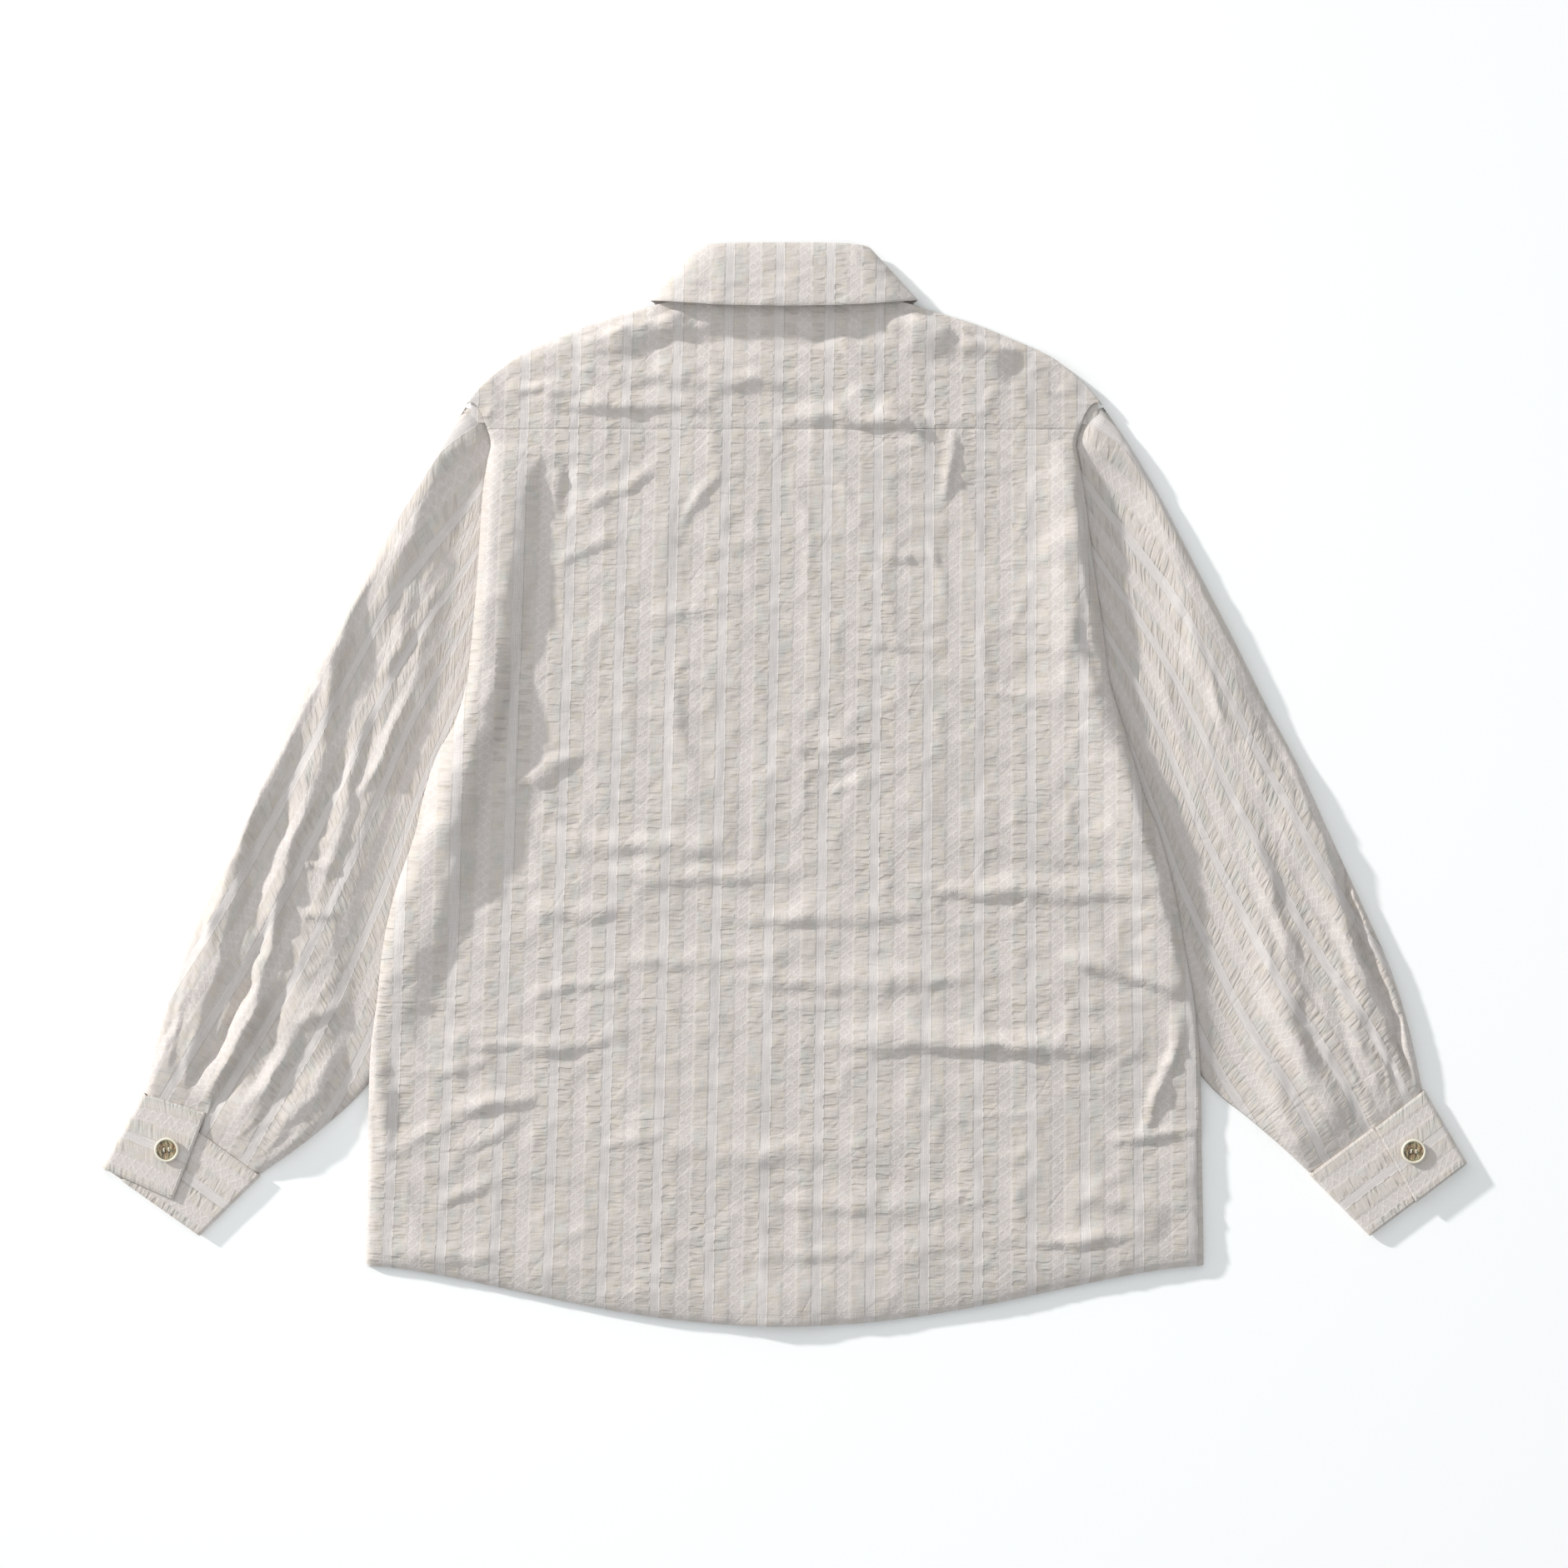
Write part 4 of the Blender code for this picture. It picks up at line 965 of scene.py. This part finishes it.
def thread_material():
    shader = Shader("button_thread", roughness=0.7)
    across, along = shader.map("Cloth")
    # The twist's grooves are sunk in the bump and darkened in the colour as painted shade
    twist_and_shade = ((across * 2.2 + along * 3.5).sine() * 0.5 + 0.5) * 0.3 + 0.7
    shader.feed("Base Color", shader.shade(linear(232, 226, 210)[:3], twist_and_shade))
    shader.bump(0.6, 0.1 * MM, twist_and_shade)
    return shader.material


def add_object(name, data):
    made = bpy.data.objects.new(name, data)
    bpy.context.scene.collection.objects.link(made)
    return made


def add_piece(mesh, name, material, node):
    mesh.materials.append(material)
    obj = add_object(name, mesh)
    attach(obj, "root")
    if node:
        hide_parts(node)
    return obj


def grid_mesh(name, points, maps, ring=False, flip=False):
    """Smooth mesh from rows of points, with one UV map for each name in maps."""
    rows, columns = points.shape[:2]
    r, c = np.meshgrid(np.arange(rows - 1), np.arange(columns if ring else columns - 1), indexing="ij")
    d = (c + 1) % columns
    quads = np.stack([r * columns + c, r * columns + d, (r + 1) * columns + d, (r + 1) * columns + c], -1)
    quads = quads.reshape(-1, 4)[:, ::-1] if flip else quads.reshape(-1, 4)
    mesh = bpy.data.meshes.new(name)
    mesh.vertices.add(rows * columns)
    mesh.vertices.foreach_set("co", points.reshape(-1).astype(np.float32))
    mesh.loops.add(quads.size)
    mesh.loops.foreach_set("vertex_index", np.ascontiguousarray(quads).reshape(-1))
    mesh.polygons.add(len(quads))
    mesh.polygons.foreach_set("loop_start", np.arange(0, quads.size, 4))
    mesh.polygons.foreach_set("loop_total", np.full(len(quads), 4))
    mesh.polygons.foreach_set("use_smooth", np.ones(len(quads), bool))
    mesh.update(calc_edges=True)
    for map_name, places in maps.items():
        layer = mesh.uv_layers.new(name=map_name)
        layer.data.foreach_set("uv", places.reshape(-1, 2)[quads.reshape(-1)].reshape(-1).astype(np.float32))
    return mesh


def cloth_piece(name, points, maps, material, thickness, offset=1.0, ring=False, flip=False):
    mesh = grid_mesh(name + "_cloth", points, maps, ring, flip)
    obj = add_piece(mesh, name + "_cloth", material, name)
    solid = obj.modifiers.new("Cloth", "SOLIDIFY")
    solid.thickness = thickness
    solid.offset = offset
    solid.use_quality_normals = True
    lean = obj.modifiers.new("Normals", "WEIGHTED_NORMAL")
    lean.weight = 90
    return obj


def with_edges(count):
    """Shares from -1 to 1, evenly spaced but closer together at both ends."""
    near = np.array(EDGE_SHARES)
    return np.unique(np.concatenate([np.linspace(-1.0, 1.0, count), near - 1.0, 1.0 - near]))


def stack(*columns):
    return np.stack(np.broadcast_arrays(*columns), -1)


def body_maps(x, y, from_edge):
    """Weave and seam maps of a piece of the body."""
    return {"Cloth": stack(repeats(x, y) * REPEAT, y), "Seams": stack(from_edge, x)}


def run_along(points):
    """Distance from the first point to each along the line through them."""
    return np.concatenate([[0.0], np.cumsum(np.linalg.norm(np.diff(points, axis=0), axis=1))])


def make_back():
    share, v = np.meshgrid(with_edges(BACK_GRID[0]), spread(BACK_GRID[1]))
    y = HEM_CORNER_Y + v * (YOKE_SEAM_Y - HEM_CORNER_Y)
    for _ in range(EDGE_PASSES):
        x = share * body_edge(share, y)
        y = hem_y(x) + v * (YOKE_SEAM_Y - YOKE_SEAM_HALF - hem_y(x))
    points = stack(x, y, back_under(x, y))
    weave = cloth_material("back_weave", HEM_STITCH / MM)
    return cloth_piece("back", points, body_maps(x, y, y - hem_y(x)), weave, CLOTH)


def make_yoke():
    share, v = np.meshgrid(with_edges(YOKE_GRID[0]), spread(YOKE_GRID[1]))
    low = body_edge(share, np.full_like(share, YOKE_SEAM_Y))
    tip = body_edge(share, np.full_like(share, YOKE_TOP["y"][-1]))
    x = share * (low + (tip - low) * v)
    seam = YOKE_SEAM_Y + YOKE_SEAM_HALF
    v = 1.0 - (1.0 - v) ** YOKE_ROWS_TO_SHOULDER
    y = seam + v * (yoke_top_y(x) - seam)
    points = stack(x, y, back_under(x, y))
    weave = cloth_material("yoke_weave", SEAM_STITCH / MM)
    return cloth_piece("yoke", points, body_maps(x, y, y - YOKE_SEAM_Y), weave, CLOTH)


def make_front(name, sign, material):
    under = bed if sign < 0 else right_front_under
    near = np.linspace(-FRONT_LAP, FRONT_LAP_END, FRONT_LAP_POINTS)
    shares = np.concatenate([spread(FRONT_GRID[0])[1:-1], [0.985, 1.0]])
    v, _ = np.meshgrid(spread(FRONT_GRID[1]), np.concatenate([near, shares]), indexing="ij")
    y = HEM_CORNER_Y + v * (YOKE_SEAM_Y - HEM_CORNER_Y)
    for _ in range(FRONT_EDGE_PASSES):
        side = body_edge(np.full_like(y, sign), y)[:, len(near) :] - FRONT_SIDE_INSET
        beyond = near[-1] + (side - near[-1]) * shares
        x = sign * np.concatenate([np.broadcast_to(near, (len(v), len(near))), beyond], 1)
        low = hem_y(x) + FRONT_HEM_INSET
        y = low + v * (front_top_y(x) - low)
    points = stack(x, y, under(x, y))
    maps = body_maps(x, y, y - hem_y(x) - FRONT_HEM_INSET)
    return cloth_piece(name, points, maps, material, CLOTH, flip=sign < 0)


def make_sleeve(side, material):
    sign = SIGN[side]
    near = np.array(SLEEVE_EDGE_SHARES)
    top = np.unique(np.concatenate([near, 1.0 - near[1:4], np.linspace(*SLEEVE_TOP_RUN)]))
    bottom = np.concatenate([[1.0], np.linspace(*SLEEVE_BOTTOM_RUN), SLEEVE_BOTTOM_END])
    upper, lower, maps = [], [], {"Cloth": [], "Seams": []}
    for along in spread(SLEEVE_RINGS):
        x, y = sleeve_point(side, along, top, True)
        z = sleeve_height(side, along, top, x, y)
        low_x, low_y = sleeve_point(side, along, bottom, False)
        upper.append(stack(sign * x, y, z))
        lower.append(stack(sign * low_x, low_y, np.where(bottom == 1.0, SLEEVE_EDGE, 0.0)))
        outer, inner = np.array(sleeve_edges(side, along))
        width = np.linalg.norm(outer - inner)
        around = np.concatenate([top, bottom])
        lean = 0.5 * (0.5 - around) * width * (1.0 - along)
        maps["Cloth"].append(stack(sign * (0.5 - around) * width, along * 0.5 + lean))
        maps["Seams"].append(stack(np.full_like(around, along * 0.5), around * width))
    points = np.concatenate([np.array(upper), np.array(lower)], 1)
    maps = {name: np.array(rows) for name, rows in maps.items()}
    return cloth_piece(
        "sleeve_" + side, points, maps, material, CLOTH, offset=-1.0, ring=True, flip=sign < 0
    )


def cuff_section(side):
    """Path round a cuff from the tucked end to the end of the flap: share of the width, inset and height."""
    inner_round = (CUFF_INSIDE - CUFF_BOTTOM) / 2
    outer_round = (CUFF_FLAP - CUFF_BOTTOM) / 2
    path = [(share, 0.0, CUFF_INSIDE) for share in np.linspace(*CUFF_INSIDE_RUN)]
    for angle in np.linspace(0.5, -0.5, CUFF_TURNS[0]) * math.pi:
        inset = inner_round * (math.cos(angle) - 1.0)
        path.append((1.0, inset, CUFF_BOTTOM + inner_round * (1 + math.sin(angle))))
    path += [(share, 0.0, CUFF_BOTTOM) for share in np.linspace(*CUFF_UNDER_RUN)]
    for angle in np.linspace(-0.5, -1.5, CUFF_TURNS[1]) * math.pi:
        inset = outer_round * (1.0 + math.cos(angle))
        path.append((0.0, inset, CUFF_BOTTOM + outer_round * (1 + math.sin(angle))))
    flap = [(share * flap_share(side), 0.0, CUFF_FLAP) for share in np.linspace(*CUFF_FLAP_RUN)]
    return path + flap, len(flap)


def make_cuff(side, material):
    sign = SIGN[side]
    corner = cuff_corners(side)
    tops, bottoms = corner[0::2], corner[1::2]
    depth = np.linalg.norm(bottoms[0] - tops[0])
    path, flap_count = cuff_section(side)
    points, cloth, seams = [], [], []
    for v in spread(CUFF_ROWS):
        outer, inner, flap = tops + (bottoms - tops) * v
        width = np.linalg.norm(inner - outer)
        row = []
        for k, (share, inset, height) in enumerate(path):
            if k >= len(path) - flap_count:
                place = outer + (flap - outer) * share / flap_share(side)
            else:
                place = outer + (inner - outer) * (share + inset / width)
            row.append((sign * place[0], place[1], height))
        row = np.array(row)
        row[:, 2] += cuff_swell(row, v)
        run = run_along(row)
        points.append(row)
        cloth.append(stack(np.full(len(path), v * depth + 5 * MM), run))
        to_seam, to_end = min(v, 1.0 - v) * depth, run[-1] - run
        seams.append(stack(np.minimum(to_seam, to_end), np.where(to_end < to_seam, v * depth, run)))
    maps = {"Cloth": np.array(cloth), "Seams": np.array(seams)}
    return cloth_piece(
        "cuff_" + side, np.array(points), maps, material, CUFF_CLOTH, offset=0.0, flip=sign > 0
    )


def cuff_swell(row, v):
    """Slight waves of the cuff's upper layers, still at its seam."""
    upper = smooth_step((row[:, 2] - CUFF_SWELL_FROM) / CUFF_SWELL_FADE)
    upper = upper * math.sin(math.pi * min(1.0, 1.4 * v)) ** 0.5
    return CUFF_SWELL * upper * value_noise(row[:, 0], row[:, 1], CUFF_SWELL_SIZE, seed=91)


def collar_columns(lines, steps):
    """Rows of a collar piece from one front point round the back to the other."""
    rows = len(COLLAR["fold_x"])
    place = np.linspace(0.0, rows - 1.0, (rows - 1) * steps + 1)
    names = [line + axis for line in lines for axis in ("_x", "_y", "_z")]
    half = np.stack([through(np.arange(rows), COLLAR[name], place) for name in names], 1)
    other = half[:0:-1] * np.array([-1.0, 1.0, 1.0] * len(lines))
    return np.concatenate([other, half])


def make_collar(name, lines, rolled):
    """A collar piece between two of its lines; the fall is rolled and swells, the stand is plain."""
    across = collar_columns(lines, COLLAR_STEPS)
    first, last = across[:, :3], across[:, 3:]
    points = []
    for share in spread(FALL_ROWS if rolled else STAND_ROWS):
        row = first + (last - first) * share
        if rolled:
            raised = smooth_step((row[:, 2] - COLLAR_LOW) / COLLAR_RISE)
            roll = FALL_SWELL * math.sin(math.pi * share**FALL_SWELL_AT)
            roll -= FOLD_TURN * (1.0 - share) ** FOLD_TURN_SHARP
            wave = value_noise(row[:, 0], row[:, 1], COLLAR_WAVE_SIZE, seed=15) * share
            row[:, 2] += COLLAR_SWELL * raised * (roll + COLLAR_WAVE * wave)
            creases = crumple(row[:, 0], row[:, 1], stretch_x=1.5, stretch_y=0.6, seed=23)
            row[:, 2] += raised * min(1.0, FALL_CREASES_FROM * share) * creases
        points.append(row)
    points = np.array(points)
    x, y = points[..., 0], points[..., 1]
    depth = np.linalg.norm(last - first, axis=1)
    from_edge = (1.0 - spread(len(points)))[:, None] * depth[None, :]
    maps = {"Cloth": stack(repeats(x, y) * REPEAT, y), "Seams": stack(from_edge, run_along(last)[None, :])}
    material = cloth_material(name + "_weave", COLLAR_STITCH / MM, creased=0.4)
    return cloth_piece(name, points, maps, material, COLLAR_CLOTH, flip=rolled)


# Turned section of a button from the middle of its lower side round to the middle of its dish
BUTTON_SECTION = table(
    "radius height",
    *((0.0, 0.0), (6.4, 0.0), (7.6, 0.4), (8.4, 1.0), (8.75, 1.7), (8.75, 2.2), (8.55, 2.7)),
    *((8.1, 3.0), (7.6, 2.95), (7.2, 2.7), (6.7, 2.3), (5.8, 2.1), (4.0, 2.0), (0.0, 2.0)),
)


def built_mesh(build, name):
    mesh = bpy.data.meshes.new(name)
    build.to_mesh(mesh)
    build.free()
    return mesh


def join_rings(build, rings):
    """Smooth faces between rings of vertices; a ring that is one point closes as a fan."""
    for low, high in zip(rings, rings[1:]):
        count = len(low)
        for k in range(count):
            around = [low[k], low[(k + 1) % count], high[(k + 1) % count], high[k]]
            build.faces.new(list(dict.fromkeys(around))).smooth = True


def button_mesh(name, segments=64):
    radius, height = BUTTON_SECTION["radius"], BUTTON_SECTION["height"]
    build = bmesh.new()
    angles = np.linspace(0.0, 2 * math.pi, segments, endpoint=False)
    rings = []
    for r, h in zip(radius, height):
        if r == 0.0:
            rings.append([build.verts.new((0.0, 0.0, h))] * segments)
        else:
            rings.append([build.verts.new((r * math.cos(a), r * math.sin(a), h)) for a in angles])
    join_rings(build, rings)
    bmesh.ops.recalc_face_normals(build, faces=build.faces)
    return built_mesh(build, name)


def drill(obj):
    """Cuts the four thread holes."""
    build = bmesh.new()
    for across in (-0.5, 0.5):
        for along in (-0.5, 0.5):
            place = (across * BUTTON_HOLE_SPACING, along * BUTTON_HOLE_SPACING, BUTTON_HEIGHT / 2)
            bmesh.ops.create_cone(
                build, cap_ends=True, segments=20, radius1=BUTTON_HOLE, radius2=BUTTON_HOLE,
                depth=3 * BUTTON_HEIGHT, matrix=Matrix.Translation(place),
            )
    tool = add_object("thread_holes", built_mesh(build, "thread_holes"))
    cut = obj.modifiers.new("Holes", "BOOLEAN")
    cut.object, cut.operation, cut.solver = tool, "DIFFERENCE", "EXACT"
    made = bpy.data.meshes.new_from_object(obj.evaluated_get(bpy.context.evaluated_depsgraph_get()))
    obj.modifiers.clear()
    obj.data = made
    bpy.data.objects.remove(tool)


def flat_map(mesh):
    """A map that reads x and y straight down, in metres."""
    layer = mesh.uv_layers.new(name="Cloth")
    for loop in mesh.loops:
        point = mesh.vertices[loop.vertex_index].co
        layer.data[loop.index].uv = (point.x, point.y)


def bar_mesh(name, reach, bars):
    """Thread bars, each an arched cord that dips into a hole at both ends."""
    build = bmesh.new()
    sides, steps = 10, 13
    section = [
        Vector((math.cos(a) * THREAD_THICK * THREAD_WIDER, 0.0, math.sin(a) * THREAD_THICK * THREAD_FLATTER))
        for a in np.linspace(0, 2 * math.pi, sides, endpoint=False)
    ]
    for across, shift in bars:
        rings = []
        for k in range(steps):
            part = 2 * k / (steps - 1) - 1
            z = THREAD_HEIGHT + THREAD_THICK * 0.9 - abs(part) ** 4 * THREAD_DIP
            centre = Vector((across + shift * part, part * reach, z))
            rings.append([build.verts.new(centre + corner) for corner in section])
        join_rings(build, rings)
        build.faces.new(rings[0][::-1])
        build.faces.new(rings[-1])
    bmesh.ops.recalc_face_normals(build, faces=build.faces)
    mesh = built_mesh(build, name)
    flat_map(mesh)
    return mesh


def make_button(node, x, y, z, turn, materials, face_down=False):
    horn, thread = materials
    obj = add_object(node + "_horn", button_mesh(node + "_horn"))
    drill(obj)
    flat_map(obj.data)
    obj.data.materials.append(horn)
    over = Matrix.Rotation(math.pi, 4, "X") if face_down else Matrix.Identity(4)
    foot = Matrix.Translation((x, y, z + (BUTTON_HEIGHT if face_down else 0.0)))
    place = foot @ Matrix.Rotation(turn, 4, "Z") @ over
    half = BUTTON_HOLE_SPACING / 2
    bars = bar_mesh(node + "_thread", half + THREAD_PAST_HOLE, ((-half, 0.1 * MM), (half, -0.08 * MM)))
    for mesh in (obj.data, bars):
        mesh.transform(place)
    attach(obj, "root")
    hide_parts(node)
    add_piece(bars, node + "_thread", thread, None)


def make_floor():
    shader = Shader("pale_floor", roughness=0.9)
    shader.feed("Base Color", FLOOR_COLOUR)
    shader.feed("Emission Color", (1.0, 1.0, 1.0, 1.0))
    shader.feed("Emission Strength", FLOOR_GLOW)
    bpy.ops.mesh.primitive_plane_add(size=FLOOR_SIZE, location=(0.0, 0.0, FLOOR_Z))
    floor = bpy.context.object
    floor.name = "floor"
    floor.data.materials.append(shader.material)


def add_light(name, kind, energy, towards):
    light = add_object(name, bpy.data.lights.new(name, kind))
    light.data.energy = energy
    light.rotation_euler = towards.to_track_quat("-Z", "Y").to_euler()
    return light


def make_light():
    elevation = math.radians(KEY_ELEVATION)
    flat = math.cos(elevation)
    towards = Vector((-LIGHT_FROM[0] * flat, -LIGHT_FROM[1] * flat, -math.sin(elevation)))
    key = add_light("key", "SUN", KEY_ENERGY, towards)
    key.data.angle = math.radians(KEY_WIDTH)
    key.data.color = KEY_COLOUR
    soft = add_light("soft", "AREA", SOFT_LIGHT_POWER, -Vector(SOFT_LIGHT_AT))
    soft.data.size = SOFT_LIGHT_SIZE
    soft.location = SOFT_LIGHT_AT
    room = bpy.data.worlds.new("studio")
    room.use_nodes = True
    background = room.node_tree.nodes["Background"]
    background.inputs["Color"].default_value = ROOM_COLOUR
    background.inputs["Strength"].default_value = ROOM_STRENGTH
    bpy.context.scene.world = room


def make_camera():
    camera = add_object("camera", bpy.data.cameras.new("camera"))
    camera.data.lens = LENS
    camera.data.sensor_width = SENSOR
    camera.location = (0.0, 0.0, FRAME_WIDTH * LENS / SENSOR)
    bpy.context.scene.camera = camera


sleeve_weave = cloth_material("sleeve_weave", SEAM_STITCH / MM)
cuff_weave = cloth_material("cuff_weave", SEAM_STITCH / MM, creased=0.25, tone=1.07)
front_weave = cloth_material("front_weave", HEM_STITCH / MM)
back = make_back()
yoke = make_yoke()
fronts = [make_front("front_left", -1.0, front_weave), make_front("front_right", 1.0, front_weave)]
sleeves = [make_sleeve(side, sleeve_weave) for side in ("left", "right")]
cuffs = [make_cuff(side, cuff_weave) for side in ("left", "right")]
leaf = make_collar("collar_leaf", ("fold", "edge"), rolled=True)
stand = make_collar("collar_stand", ("foot", "top"), rolled=False)

button_looks = (button_material(), thread_material())
flap_top = CUFF_FLAP + MM + SEAM
for k, (side, sign, turn) in enumerate((("left", -1.0, 0.12), ("right", 1.0, -0.06))):
    x, y = sign * CUFF_BUTTON["x"][k], CUFF_BUTTON["y"][k]
    make_button("cuff_button_" + side, x, y, flap_top, turn, button_looks)
for k in range(FRONT_BUTTONS):
    y = FRONT_BUTTON_TOP - k * FRONT_BUTTON_STEP
    make_button(f"front_button_{k + 1}", 0.0, y, 0.0, 0.4 * k, button_looks, face_down=True)

make_floor()
make_light()
make_camera()
bpy.context.scene.view_settings.view_transform = "Standard"
